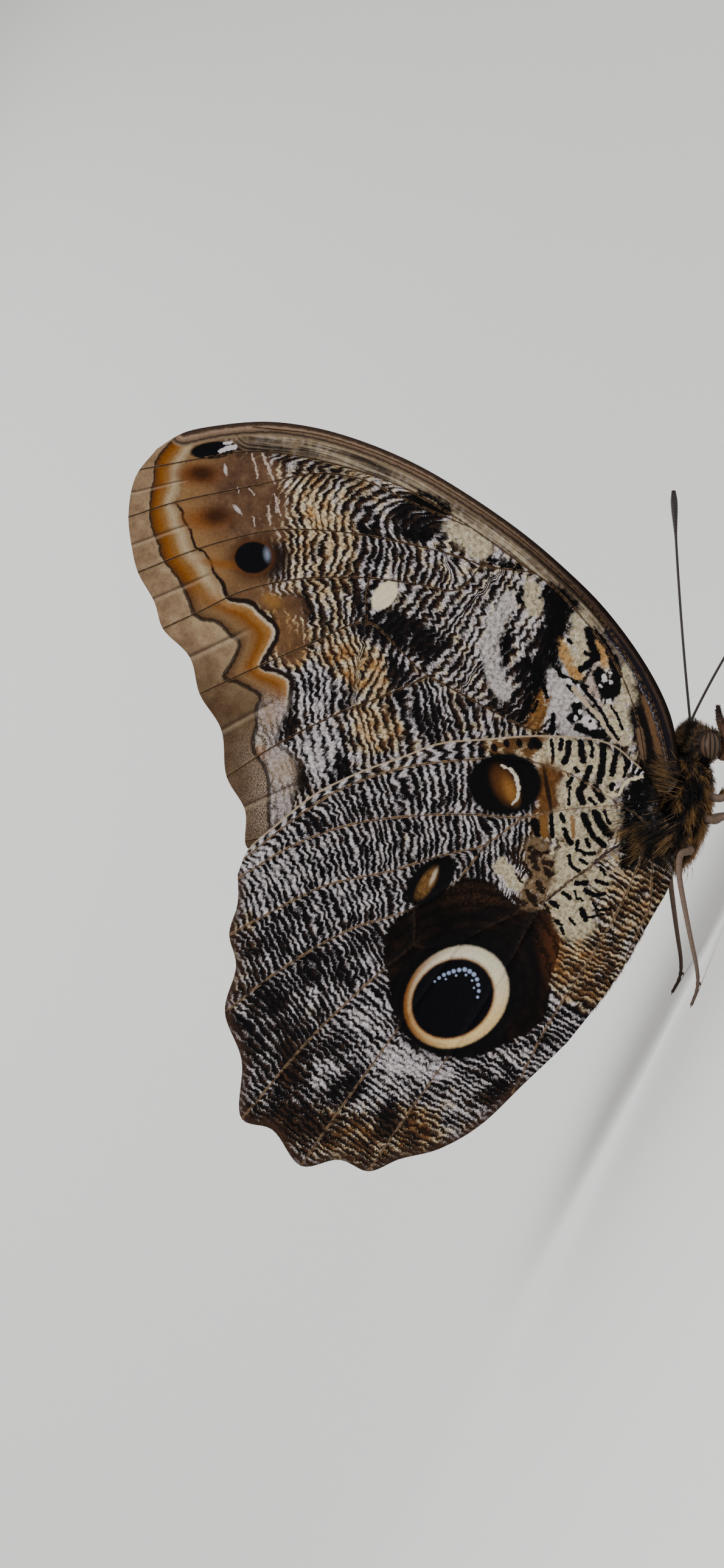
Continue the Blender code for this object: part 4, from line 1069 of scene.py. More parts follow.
FOREWING_MARKS = (
    (FROST_SCALES, (3.4, 364, 743, 376, 738), (3.8, 376, 738, 388, 735), (2.4, 370, 730, 381, 728)),
    (DIM_SCALES, (1.7, 414, 747, 421, 765, 425, 786), (1.8, 434, 748, 442, 770, 452, 794),
     (1.5, 441, 832, 444, 846, 445, 862), (1.2, 417, 850, 420, 866), (1.4, 452, 812, 461, 848),
     (1, 391, 802, 394, 811), (1.2, 411, 804, 420, 814)),
    (INK, (7, 967, 1036, 972, 1060, 981, 1080), (6, 981, 1080, 966, 1092, 955, 1100),
     (3.5, 961, 1073, 969, 1076), (5.5, 978, 1040, 992, 1056, 1005, 1080),
     (9, 1008, 1084, 1013, 1106, 1010, 1138), (11, 984, 1108, 992, 1130, 1001, 1144),
     (3.5, 914, 1098, 922, 1110, 938, 1117, 950, 1124, 964, 1128), (4, 934, 1126, 941, 1136)),
    (FROST_SCALES, (4.5, 992, 1113, 994, 1118), (3, 1002, 1105), (3.2, 1003, 1121), (3, 986, 1128),
     (3, 983, 1151), (4, 1000, 1153), (5, 935, 1121), (3.5, 951, 1128)),
    (INK, (3.2, 934, 1051, 938, 1057), (9, 948, 1160, 950, 1176, 940, 1180),
     (8, 950, 1196, 974, 1204, 990, 1208), (6, 968, 1168, 984, 1190)),
    (FROST_SCALES, (9, 965, 1185, 971, 1190)),
    (INK, (2.5, 969, 1186)),
    (FROST_SCALES, (4.5, 948, 1151), (4, 954, 1170), (3.6, 946, 1181)),
    (rgb(168, 150, 126), (3.6, 942, 1132, 960, 1153, 985, 1181, 1001, 1205, 1022, 1224)),
    (INK, (3.2, 957, 1130, 975, 1151, 990, 1174, 1000, 1194, 1014, 1215),
     (2.6, 1003, 1160, 1016, 1182, 1022, 1200), (4.5, 909, 1176, 907, 1205), (3, 893, 1128, 900, 1146),
     (2.5, 884, 1152, 876, 1170)),
)
FOREWING_CLOUDS = (
    (rgb(26, 20, 18), (11, 392, 738, 424, 736, 470, 746)),
    (rgb(12, 10, 10), (15, 540, 764, 584, 788)),
    (rgb(20, 16, 15), (10, 582, 766, 634, 782)),
    (rgb(24, 18, 16), (9, 498, 742, 520, 752)),
)
FRONT_MARKS = (
    (rgb(14, 10, 10), (14, 1044, 1172, 1054, 1216, 1064, 1266)),
    (rgb(96, 74, 56), (5.5, 1049, 1200, 1055, 1244)),
    (rgb(92, 66, 44), (5, 1057, 1146, 1072, 1202, 1084, 1262)),
)
FRONT_VEIN = ((1000, 1040), (1022, 1066), (1048, 1106), (1072, 1158), (1090, 1210), (1100, 1262))
print("marks of the forewing:", len(FOREWING_FIELDS) + len(FOREWING_MARKS))

# %% The marks at the root of the hindwing
HINDWING_FIELDS = (
    (CREAM_SCALES, (26, 914, 1236, 960, 1246, 1002, 1264), (21, 932, 1302, 982, 1312),
     (25, 925, 1352, 972, 1366), (18, 984, 1340, 1000, 1346), (24, 935, 1412, 956, 1404),
     (30, 930, 1452, 944, 1512), (16, 980, 1440, 984, 1444)),
    (rgb(26, 19, 16), (26, 1084, 1290, 1090, 1330, 1100, 1380)),
    (INK, (17, 1046, 1262, 1054, 1300), (24, 1040, 1308, 1040, 1344), (17, 1036, 1362, 1030, 1416)),
    (rgb(118, 96, 70), (20, 882, 1392, 892, 1440, 872, 1474)),
    (CREAM_SCALES, (12, 824, 1422, 848, 1452)),
    (UMBER, (5, 872, 1394, 884, 1404, 898, 1398), (5, 876, 1408, 882, 1428), (4, 894, 1414, 904, 1420),
     (5, 896, 1430, 908, 1436), (4, 862, 1418, 872, 1438), (5, 884, 1448, 890, 1464),
     (6, 868, 1466, 878, 1482), (5, 846, 1474, 862, 1484), (4, 892, 1484, 902, 1500),
     (4, 838, 1400, 850, 1418), (3, 850, 1436, 856, 1446)),
)
HINDWING_MARKS = (
    (INK, (8, 878, 1218, 883, 1224), (2.8, 905, 1216, 908, 1234, 907, 1254), (4, 922, 1217, 919, 1231),
     (5, 934, 1220, 932, 1240, 927, 1252), (6, 953, 1220, 955, 1240, 957, 1250),
     (3.2, 968, 1219, 972, 1232, 970, 1244), (5.5, 968, 1262, 962, 1276), (4, 944, 1262, 948, 1268),
     (6, 989, 1222, 988, 1254, 982, 1284), (5, 1012, 1230, 1006, 1254, 1003, 1272),
     (4.2, 1004, 1289, 1001, 1296), (3.2, 1021, 1234, 1026, 1256, 1023, 1276), (4, 1034, 1240, 1030, 1262)),
    (FROST_SCALES, (1.6, 1038, 1242, 1031, 1268), (1.6, 1050, 1252, 1040, 1272),
     (1.6, 1059, 1262, 1048, 1275)),
    (CREAM_SCALES, (2.8, 985, 1302, 1000, 1308, 1014, 1306, 1020, 1292, 1031, 1281, 1052, 1277)),
    (INK, (3.4, 938, 1279, 931, 1290), (3, 935, 1294, 933, 1322), (6.5, 960, 1284, 950, 1302, 955, 1318),
     (6.5, 976, 1294, 986, 1312), (3, 966, 1312, 975, 1320), (6, 957, 1340, 964, 1355),
     (7, 976, 1336, 984, 1352, 997, 1369), (3, 990, 1332, 998, 1352), (5, 966, 1362, 976, 1377, 991, 1388),
     (3.6, 962, 1379, 966, 1390), (3.2, 948, 1382, 946, 1394, 960, 1402, 975, 1402),
     (4.5, 926, 1362, 930, 1376, 937, 1384), (3.6, 921, 1338, 925, 1350),
     (3.2, 934, 1406, 936, 1420, 952, 1432), (3, 952, 1412, 962, 1418)),
    (rgb(128, 96, 62), (3.4, 938, 1342, 941, 1374)),
    (INK, (4.4, 945, 1450, 962, 1450), (3.6, 978, 1446, 995, 1452), (4, 960, 1462, 975, 1470, 990, 1467),
     (4.2, 925, 1466, 935, 1474), (2, 942, 1463, 946, 1474, 956, 1478), (4.4, 905, 1482, 915, 1488),
     (5, 955, 1494, 960, 1508), (2.6, 973, 1484, 981, 1494, 1000, 1492), (2.6, 935, 1508, 943, 1518),
     (3.6, 912, 1512, 920, 1518), (3, 921, 1524, 925, 1532), (2.6, 965, 1506, 990, 1500),
     (3, 985, 1424, 992, 1436), (8, 877, 1352, 884, 1368)),
    (rgb(112, 76, 36), (6, 892, 1342, 893, 1370)),
    (INK, (3.6, 904, 1336, 907, 1374)),
    (rgb(104, 78, 50), (3, 1053, 1350, 1057, 1420)),
    (rgb(160, 138, 104), (3, 1004, 1402, 1016, 1414)),
    (rgb(150, 130, 104), (2.4, 1002, 1432, 1014, 1426, 1022, 1434)),
    (rgb(52, 40, 38), (2.2, 898, 1478, 930, 1450, 962, 1428, 992, 1402, 1012, 1390)),
)
print("marks of the hindwing:", len(HINDWING_FIELDS) + len(HINDWING_MARKS))

# %% [markdown]
# The forewing's margin is tan, then comes the outer wavy line, an orange band that pales inward, the inner
# wavy line, and a smooth brown field with three spots in the wing's tip. Streaks run along the front edge.
# The folds of the margin get painted shade and a faint painted highlight, and a painted glint runs beside the
# front vein.

# %% The forewing's finish
forewing_paint, art, cloud, wobble, across = rippled_ground(
    "forewing_scales", ((0.3, rgb(64, 43, 31)), (0.52, rgb(86, 61, 44)), (0.7, rgb(106, 80, 58))))
wires, plane = art.wires, art.plane
to_outer, to_inner, to_margin = wires.parts("bands")
to_vein, to_costa, _ = wires.parts("edges")
south = art.below(1120, 1190)
past_outer, past_inner = wires.scaled(wobble, 0.5, to_outer), wires.scaled(wobble, 0.5, to_inner)
apart = wires.math("MAXIMUM", wires.math("SUBTRACT", past_outer, past_inner), 0.05)
between = wires.math("DIVIDE", past_outer, apart)
orange = wires.ramp(between, (0.0, rgb(70, 38, 14)), (0.25, rgb(116, 66, 14)), (0.45, rgb(124, 86, 42)),
                    (0.7, rgb(162, 142, 112)), (1.0, rgb(112, 84, 54)))
art.lay(wires.times(wires.step(past_inner, 0.0, 5.5, 0.9, 0.0), art.below(1010, 930)), rgb(128, 94, 58))
sandy = wires.step(wires.noise(plane, 6.0, 3.0, 0.7), 0.45, 0.6)
art.spots(((470, 1030, 26, 52, -12, 0.9), rgb(110, 76, 38), 0.8, 0.7, wires.scaled(sandy, 0.5, 0.25)),
          ((447, 988, 20, 13, 24, 0.6), rgb(132, 92, 42), 0.8, 0.6, 0.75))
frosty = wires.blend(sandy, rgb(88, 68, 54), rgb(184, 172, 162))
amber = wires.ramp(between, (0.0, rgb(70, 46, 28)), (0.3, rgb(116, 88, 58)), (0.6, rgb(112, 64, 16)),
                   (0.82, rgb(140, 98, 50)), (0.95, rgb(196, 184, 164)))
orange = wires.blend(art.below(950, 1010), orange, amber)
in_band = wires.times(wires.step(past_outer, -0.1, 0.1), wires.step(past_inner, -0.1, 0.1, 1.0, 0.0))
art.lay(wires.times(in_band, wires.step(south, 0.0, 1.0, 1.0, 0.5)), wires.blend(south, orange, frosty))
sandier = wires.scaled(sandy, 0.45, 0.3)
for spot, ink in (((431, 1236, 15, 13, 30, 0.5), rgb(128, 82, 32)),
                  ((464, 1264, 26, 30, 30, 0.5), rgb(150, 126, 94)),
                  ((444, 1178, 16, 20, 20, 0.5), rgb(140, 106, 74))):
    art.spot(spot, ink, 0.8, 0.7, sandier)
edge_tan = wires.ramp(wires.scaled(cloud, 1.2, wires.times(to_margin, 0.08)),
                      (0.35, rgb(98, 74, 54)), (0.8, rgb(134, 110, 84)), (1.1, rgb(150, 128, 100)))
edge_tan = wires.blend(art.below(1020, 1180), edge_tan, wires.tinted(edge_tan, rgb(160, 150, 140)))
frosted = wires.times(wires.times(sandy, art.below(1150, 1330)),
                      wires.step(past_outer, -3.5, -0.3, 0.15, 0.75))
edge_tan = wires.blend(frosted, edge_tan, rgb(176, 160, 146))
art.lay(wires.step(past_outer, -0.12, 0.12, 1.0, 0.0), edge_tan)


def wavy_line(distance, width, strength):
    thinner = wires.step(art.below(900, 1000), 0.0, 1.0, 2.1, 1.0)
    near = wires.step(wires.times(wires.math("ABSOLUTE", distance), thinner), width * 0.35, width, 1.0, 0.0)
    art.lay(wires.times(near, strength), rgb(26, 16, 12))


wavy_line(past_outer, 0.36, 0.85)
wavy_line(past_inner, 0.46, wires.times(art.below(815, 840), wires.step(south, 0.0, 1.0, 1.0, 0.65)))
count, millimetres, cell = wires.parts("ripple")
streak_space = wires.put("CombineXYZ", wires.times(count, 0.12), wires.times(millimetres, 2.6)).outputs[0]
streaks = wires.noise(streak_space, 1.0, 3.0, 0.6)
streaky = wires.ramp(streaks, (0.36, rgb(44, 34, 28)), (0.5, rgb(110, 94, 76)), (0.64, rgb(164, 150, 124)))
streaky = wires.blend(art.below(1010, 1120), streaky, wires.tinted(streaky, rgb(96, 84, 78)))
streaky = wires.blend(wires.step(to_outer, 5.0, 15.0, 0.75, 0.0), streaky, rgb(78, 60, 48))
art.lay(wires.times(wires.step(cell, 1.97, 2.0, 0.85, 0.0), wires.step(to_outer, 2.0, 6.0)), streaky)

art.spots(((352, 741, 38, 14, -6, 0.1), BLACK, 1.0, 0.12, 1.0),
          ((326, 781, 42, 19, 0, 0.3), rgb(98, 50, 16), 0.8, 0.6, 0.95),
          ((333, 779, 25, 15, 0, 0.3), rgb(46, 23, 10), 0.8, 0.6, 0.95),
          ((340, 854, 44, 20, 0, 0.3), rgb(112, 62, 18), 0.8, 0.6, 0.9),
          ((357, 849, 28, 18, 0, 0.3), rgb(48, 25, 12), 0.8, 0.6, 0.95),
          ((372, 773, 10, 3.5, 80, 1.4), rgb(178, 168, 166), 0.8, 0.3, 0.9),
          ((391, 838, 13, 4, 50, 1.4), rgb(178, 168, 166), 0.8, 0.3, 0.9),
          ((424, 919, 52, 40, 0, 0.25), rgb(54, 31, 16), 0.9, 0.4, 0.95),
          ((452, 922, 26, 30, 0, 0.3), rgb(24, 15, 12), 0.9, 0.4, 0.9),
          ((368, 928, 44, 8, 8, 0.2), rgb(118, 70, 22), 0.8, 0.7, 0.85),
          ((417, 918, 35, 31, 0, 0.12), rgb(86, 49, 22), 1.0, 0.2, 0.6),
          ((417, 917, 30, 26, 0, 0.06), rgb(5, 5, 9), 1.0, 0.07, 1.0),
          ((440, 912, 6, 12, -8, 0.1), rgb(128, 136, 154), 0.7, 0.8, 0.8))

art.fields(FOREWING_FIELDS, 2.0, 0.36, 0.25)
frayed = art.torn(2.0, 0.8)
art.strokes(frayed, FOREWING_CLOUDS, soft=0.8, strength=wires.step(streaks, 0.34, 0.6, 1.0, 0.3))
art.strokes(frayed, FOREWING_MARKS)
front = wires.ramp(wires.scaled(wobble, 0.12, wires.times(to_costa, 0.3)),
                   (0.0, rgb(44, 33, 27)), (0.12, rgb(62, 47, 38)), (0.2, rgb(138, 114, 94)),
                   (0.34, rgb(98, 78, 62)), (0.38, rgb(40, 30, 26)), (0.5, rgb(130, 110, 86)))
front = wires.blend(art.below(760, 1000), front, wires.tinted(front, rgb(120, 114, 116)))
art.lay(wires.times(wires.step(to_costa, 1.5, 1.9, 1.0, 0.0), wires.step(to_outer, -1.0, 0.5)), front)
art.strokes(frayed, FRONT_MARKS, soft=0.4)
art.stroke(plane, rgb(22, 19, 24), (8, *FRONT_VEIN))
# A painted glint: a broken pale line beside the front vein, standing for light caught on its scales.
painted_glint = wires.step(wires.noise(plane, 3.4, 2.0), 0.48, 0.62, 0.1, 0.8)
beside_vein = [(x - 6, y + 3) for x, y in FRONT_VEIN]
art.stroke(frayed, rgb(124, 118, 126), (1.2, *beside_vein), soft=0.6, strength=painted_glint)
art.spot((633, 979, 28, 17, -52, 0.4), rgb(212, 200, 168))
# Painted shade and painted highlight on the folds of the margin: a dark line on one side of each fold's crest
# and a faint light line on the other.
fold = wires.times(wires.step(to_margin, 6.0, 9.0, 1.0, 0.0), wires.step(past_inner, -0.5, 1.0, 1.0, 0.0))
for places, strength, ink in (((0.44, 0.49, 0.51), 0.75, rgb(50, 36, 28)),
                              ((0.50, 0.53, 0.58), 0.2, rgb(206, 184, 154))):
    line = wires.times(wires.ramp(across, *zip(places, (NOTHING, WHITE, NOTHING))), fold)
    art.lay(wires.times(line, strength), ink)
art.veins(to_vein, rgb(24, 16, 12), rgb(110, 84, 58), 0.85)
art.finish()
print("nodes of the forewing's finish:", len(wires.tree.nodes))

# %% [markdown]
# The great eyespot of the hindwing: a black pupil with a string of pale dots, a ring of cream that turns
# yellow, a soft brown halo and a wide dark field. Two smaller spots sit above it, one of them half hidden by
# the other's dark cap.

# %% The hindwing's finish
hindwing_paint, art, cloud, wobble, _ = rippled_ground(
    "hindwing_scales", ((0.3, rgb(56, 35, 19)), (0.6, rgb(92, 63, 34))), (1640, 1860))
wires, plane = art.wires, art.plane
to_vein, to_costa, _ = wires.parts("edges")
to_field, _, to_margin = wires.parts("bands")
art.lay(wires.step(wires.scaled(wobble, 1.6, to_margin), 0.1, 1.4, 0.8, 0.0), rgb(58, 40, 30))
art.veins(to_vein, rgb(60, 44, 34), rgb(132, 106, 78), 0.6)
umber = wires.ramp(cloud, (0.3, rgb(4, 2, 2)), (0.5, rgb(12, 7, 5)), (0.72, rgb(30, 17, 10)))
field = Painting(wires, plane, umber)
broken = wires.step(wires.noise(plane, 2.4, 3.0, 0.7), 0.38, 0.62, 0.1, 0.9)
field.spots(((914, 1566, 34, 84, -8, 0.5), rgb(70, 38, 18), 0.7, 0.5, 0.85),
            ((800, 1478, 110, 30, 12, 0.9), rgb(50, 31, 18), 0.7, 0.5, broken),
            ((800, 1500, 60, 12, -12, 0.5), rgb(8, 5, 6), 0.9, 0.4, 0.8),
            ((872, 1590, 16, 62, -12, 0.4), rgb(10, 6, 7), 0.9, 0.4, 0.7))
arcs = wires.math("SINE", wires.times(field.away(752, 1634, 92, 78, -42, 0.35), 26.0))
field.lay(wires.step(arcs, 0.0, 0.9, 0.0, 0.7), rgb(3, 2, 2))
field.veins(to_vein, rgb(8, 6, 6), rgb(60, 44, 34), 0.5)
art.lay(wires.step(wires.scaled(wobble, 1.5, to_field), -0.25, 0.1, 1.0, 0.0), field.colour)
art.spot((752, 1634, 110, 96, -45, 0.08), rgb(5, 4, 6), 1.0, 0.14)
outer_edge, pupil_edge = art.away(750, 1637, 92, 77, -42, 0.035), art.away(744, 1640, 71, 60, -40, 0.04)
warm_side = wires.math("ADD", art.below(1580, 1700), wires.times(art.below(1500, 1900), 0.4))
rim_side = wires.step(wires.measure("DOT_PRODUCT", plane, (0.45, -0.9, 0.0)), -34.0, -26.0, 1.0, 0.15)
ring = wires.blend(warm_side, rgb(206, 198, 172), rgb(214, 184, 128))
ring = wires.blend(wires.times(wires.step(outer_edge, 0.82, 0.97, 0.0, 1.0), rim_side), ring, rgb(122, 74, 28))
ring = wires.blend(wires.step(pupil_edge, 0.98, 1.1, 0.9, 0.0), ring, rgb(120, 66, 22))
art.lay(art.inside(outer_edge, 0.035), ring)
art.lay(art.inside(pupil_edge, 0.035), rgb(4, 4, 9))
for px, py, size in ((715, 1612, 2.4), (722, 1606, 3.2), (730, 1601, 3.4), (738, 1598, 3.6), (746, 1595, 3.8),
                     (755, 1593, 3.8), (764, 1592, 4.0), (772, 1595, 4.0), (779, 1600, 4.0), (784, 1608, 3.6),
                     (786, 1617, 3.4), (787, 1627, 3.2), (785, 1637, 2.6), (733, 1608, 2.0), (750, 1602, 2.2),
                     (766, 1601, 2.4), (776, 1610, 2.2), (779, 1622, 2.0)):
    art.spot((px, py, size, size, 0, 0.0), rgb(150, 166, 200), 0.9, 0.35, 0.85)

tint = art.fields(HINDWING_FIELDS, 1.7, 0.32, 0.4)
frayed = art.torn(2.0, 0.8)
art.strokes(frayed, HINDWING_MARKS)
art.lay(wires.step(to_costa, 0.14, 0.3, 0.85, 0.0), rgb(166, 146, 120))
fading = wires.scaled(art.below(1560, 1800), -0.3, 0.5)
art.veins(to_vein, rgb(44, 32, 26), rgb(154, 126, 96), wires.times(wires.step(to_field, 0.2, 1.0), fading))
art.spots(((897, 1291, 23, 44, 6, 0.25), wires.tinted(rgb(104, 66, 30), tint), 0.85, 0.4, 0.9),
          ((899, 1298, 4, 40, -10, 0.5), rgb(12, 8, 8), 1.0, 0.4, 0.9))
for px, py in ((812, 1229), (832, 1222), (853, 1221), (872, 1226), (790, 1234)):
    art.spot((px, py, 7, 5, 70, 0.4), rgb(10, 7, 7), 1.0, 0.25)
art.spots(((829, 1288, 61, 51, 0, 0.08), rgb(6, 5, 6), 1.0, 0.07),
          ((829, 1290, 38, 21, 64, 0.2), rgb(76, 44, 18), 0.85, 0.35),
          ((838, 1299, 27, 13, 66, 0.2), rgb(130, 88, 40), 0.7, 0.6))
for line in ((1.8, 823, 1258, 838, 1264), (3.0, 838, 1264, 847, 1275), (3.4, 848, 1277, 852, 1296),
             (2.2, 852, 1296, 849, 1312, 843, 1320)):
    art.stroke(frayed, rgb(200, 188, 170), line, soft=0.4)
art.spots(((708, 1448, 50, 29, -45, 0.1), rgb(8, 6, 6), 1.0, 0.08),
          ((702, 1451, 33, 13, -58, 0.2), wires.tinted(rgb(112, 80, 42), tint), 0.85, 0.3),
          ((713, 1440, 17, 4.0, -66, 0.3), rgb(186, 168, 144), 0.8, 0.5, 0.8))
art.finish()
print("nodes of the hindwing's finish:", len(wires.tree.nodes))

# %% [markdown]
# The inner faces are the wings' upper sides, which only show from above and behind: brown, with a blue
# sheen painted into the colour in broad patches.

# %% The inner faces
inner_paint, wires = new_material("upper_side_scales")
# Broad patches of painted blue sheen over the brown.
painted_sheen = wires.noise(wires.guide("plane"), 0.08, 3.0)
wires.shade(Base_Color=wires.ramp(painted_sheen, (0.35, rgb(62, 48, 42)), (0.6, rgb(52, 58, 82))), Roughness=0.7)
for pieces, paint in ((forewings, forewing_paint), (hindwings, hindwing_paint)):
    for piece in pieces:
        piece.data.materials.append(paint)
        piece.data.materials.append(inner_paint)
print("wing materials:", [m.name for m in bpy.data.materials])

# %% [markdown]
# The trunk is one skin from the face to the tail. At each place along it, its half width, top and bottom are
# soft unions of thorax, abdomen and head, each drawn in by the depth of its fur.

# %% The shape of the trunk
HEAD = {"x": 8.6, "z": 1.1, "length": 2.3, "width": 2.2, "height": 3.0, "power": 3.0}
FUR_DEPTH = {"thorax": 0.75, "head": 0.5, "abdomen": 0.32}
SEGMENT = 2.6
LEAST_REACH = 0.04
TAIL_LINE = spline(ABDOMEN[::-1] + ((-5.0, 1.3), (-4.0, 0.0)), 0.5)
MIDDLE_LINE = np.array(((-27.2, -1.42), (-9.0, -0.51), (-4.0, -0.5), (0.0, 0.0), (5.0, 0.8), (8.6, 1.1)))


def soft_union(*values):
    return sum(np.clip(v, 0, None) ** 5 for v in values) ** 0.2


def trunk_section(x):
    """Half width, upper reach, lower reach and middle height of the trunk."""
    thorax = thorax_scale(x)
    head = np.sqrt(np.clip(1 - (np.abs(x - HEAD["x"]) / HEAD["length"]) ** HEAD["power"], 0, 1))
    tail = np.clip(np.interp(x, TAIL_LINE[:, 0], TAIL_LINE[:, 1], right=0.0) - FUR_DEPTH["abdomen"], 0, None)
    tail = tail * (1 - 0.08 * np.cos(math.pi * (x - ABDOMEN_FRONT) / SEGMENT) ** 8)
    middle = np.interp(x, MIDDLE_LINE[:, 0], MIDDLE_LINE[:, 1])
    width = soft_union(thorax * (THORAX["width"] - FUR_DEPTH["thorax"]), tail,
                       head * (HEAD["width"] - FUR_DEPTH["head"]))
    reaches = []
    for way, thorax_height in ((1, THORAX["top"]), (-1, THORAX["bottom"])):
        parts = ((thorax, thorax_height - FUR_DEPTH["thorax"], THORAX["rise"] * x),
                 (np.minimum(tail, 1), np.maximum(tail, 1), abdomen_axis(x)),
                 (head, HEAD["height"] - FUR_DEPTH["head"], HEAD["z"]))
        reaches.append(soft_union(*[(size > 0) * (size * height + way * (axis - middle))
                                    for size, height, axis in parts]))
    return *(np.maximum(reach, LEAST_REACH) for reach in (width, *reaches)), middle


def trunk_point(x, turn):
    width, top, bottom, middle = trunk_section(x)
    up = np.sin(turn)
    return np.stack([x, width * np.cos(turn), middle + np.where(up > 0, top, bottom) * up], 1)


def trunk_frame(x, turn):
    """Places on the skin, and the way straight out of it at each."""
    here = trunk_point(x, turn)
    out = np.cross(trunk_point(x, turn + 0.02) - here, trunk_point(x + 0.02, turn) - here)
    return here, unit(out)


# %% [markdown]
# Small helpers make the meshes of the body. A tube runs along a path with its own width at each step, and a
# piece may join several of them. Every piece keeps its measure along and around as a guide for its material.

# %% Tubes and pieces
def lofted(rings):
    """Points and faces of a closed body through rings of equally many points."""
    sides = len(rings[0])
    faces = [(start + k, start + (k + 1) % sides, start + sides + (k + 1) % sides, start + sides + k)
             for start in range(0, (len(rings) - 1) * sides, sides) for k in range(sides)]
    faces.append(tuple(range(sides))[::-1])
    faces.append(tuple(range((len(rings) - 1) * sides, len(rings) * sides)))
    return np.vstack(rings), faces


def reached(path):
    """How far along a path each of its points lies."""
    return np.concatenate([[0.0], np.cumsum(np.linalg.norm(np.diff(path, axis=0), axis=1))])


def tube(path, radii, sides=12, flatten=1.0):
    """Points, faces and guides of a tube: millimetres along it, and the turn around it."""
    path, radii = np.array(path, float), np.array(radii, float)
    ahead = unit(np.gradient(path, axis=0))
    across = np.cross(ahead, (0.0, 0.0, 1.0))
    across[np.linalg.norm(across, axis=1) < 0.05] = (0.0, 1.0, 0.0)
    across = unit(across)
    turns = np.linspace(0, 2 * math.pi, sides, endpoint=False)
    rings = [centre + radius * (flatten * np.cos(turns)[:, None] * a + np.sin(turns)[:, None] * u)
             for centre, radius, a, u in zip(path, radii, across, np.cross(across, ahead))]
    along = np.repeat(reached(path), sides)
    return (*lofted(rings), np.stack([along, np.tile(turns, len(path)), along / along[-1]], 1))


def add_piece(name, parts, paint, slot, *nodes):
    """One mesh of several bodies, which stands for the named solids."""
    points, faces, guides = [], [], []
    for part_points, part_faces, part_guides in parts:
        first = sum(len(p) for p in points)
        faces += [tuple(first + k for k in face) for face in part_faces]
        points.append(part_points)
        guides.append(part_guides)
    mesh = new_mesh(name, np.vstack(points), faces)
    mesh.shade_smooth()
    store(mesh, guide=np.vstack(guides))
    mesh.materials.append(paint)
    return show(mesh, nodes)


# %% [markdown]
# Fur is made of thin tapering ribbons. Each grows out of the skin, leans and bends towards the way it is
# combed, and knows where its root is, so that patches of colour run through whole tufts. On the bake map each
# ribbon takes a tiny patch where its root is.

# %% Fur
RIBBON_ROWS = (0.0, 0.4, 0.75)
RIBBON_FACES = ((0, 1, 3, 2), (2, 3, 5, 4), (4, 5, 6))
MAP_PATCH = 0.003


def add_fur(name, roots, outs, comb, length, width, lean, map_places, draws, paint):
    """Ribbons on the given roots, with length and width in millimetres."""
    count = len(roots)
    start = unit(outs * (1 - lean) + comb * lean + 0.2 * draws.normal(size=(count, 3)))
    sideways = unit(np.cross(start, draws.normal(size=(count, 3))))
    sizes = (length * draws.uniform(0.6, 1.1, count))[:, None]
    shares = [(side, t) for t in RIBBON_ROWS for side in (-0.5, 0.5)] + [(0.0, 1.0)]
    rows = [roots + sizes * (t * start + 0.35 * t * t * comb) + side * width * (1 - 0.6 * t) * sideways
            for side, t in shares]
    per, first = len(rows), np.arange(count)[:, None] * len(rows)
    faces = [face for corners in RIBBON_FACES for face in (first + np.array(corners)).tolist()]
    mesh = new_mesh(name, np.stack(rows, 1).reshape(-1, 3), faces)
    strand = np.stack([np.repeat(draws.uniform(size=count), per), np.tile([t for _, t in shares], count),
                       np.zeros(count * per)], 1)
    store(mesh, root=np.repeat(roots, per, axis=0), strand=strand)
    places = np.repeat(map_places, per, axis=0) + MAP_PATCH * np.tile(np.array(shares), (count, 1))
    places = places[corner_points(mesh)]
    mesh.uv_layers.new(name="OFBake").data.foreach_set("uv", places.ravel())
    mesh.materials.append(paint)
    print(name, "ribbons:", count)
    return show(mesh)


# %% [markdown]
# The fur's colour is decided at the root: patches of black and ochre, more ochre below than above, with each
# hair a little darker or lighter than the next and paler towards its tip.

# %% The fur group and the body's finishes
wires, given, result = new_group(
    "Fur Shade", {"Root": VECTOR, "Strand": VECTOR, "Patch": 0.5, "Border": 0.5, "Below": 0.0,
                  "Dark": COLOUR, "Light": COLOUR}, {"Colour": COLOUR})
height, (own, along, _) = wires.parts(given["Root"])[2], wires.parts(given["Strand"])
lengthwise = wires.vector("MULTIPLY", given["Root"], (0.5, 1.0, 1.2))
mottle = wires.math("SUBTRACT", wires.noise(lengthwise, given["Patch"], 2.0), given["Border"])
share = wires.step(wires.math("SUBTRACT", mottle, wires.times(height, given["Below"])), -0.04, 0.05)
shade = wires.blend(share, given["Dark"], given["Light"])
vary = wires.scaled(own, 0.7, wires.scaled(along, 0.45, 0.45))
grey = wires.put("CombineXYZ", vary, vary, vary).outputs[0]
wires.join(wires.tinted(shade, grey), result["Colour"])
fur_shade = wires.tree


def fur_paint(label, patch, border, below, dark, light):
    made, wires = new_material(label)
    colour = wires.use(fur_shade, Root=wires.guide("root"), Strand=wires.guide("strand"), Patch=patch,
                       Border=border, Below=below, Dark=dark, Light=light)["Colour"]
    wires.shade(Base_Color=colour, Roughness=0.65, Specular_IOR_Level=0.25)
    return made


def mottled_skin(label, colour, roughness):
    """A finish with a mottled shade and a fine relief."""
    made, wires = new_material(label)
    mottle = wires.noise(wires.put("TexCoord").outputs["Object"], 2500.0, 3.0, 0.6)
    darker = (*(0.7 * c for c in colour[:3]), 1.0)
    wires.shade(Base_Color=wires.ramp(mottle, (0.3, darker), (0.65, colour)), Roughness=roughness,
                Normal=wires.bump(mottle, 0.3, 0.00005))
    return made


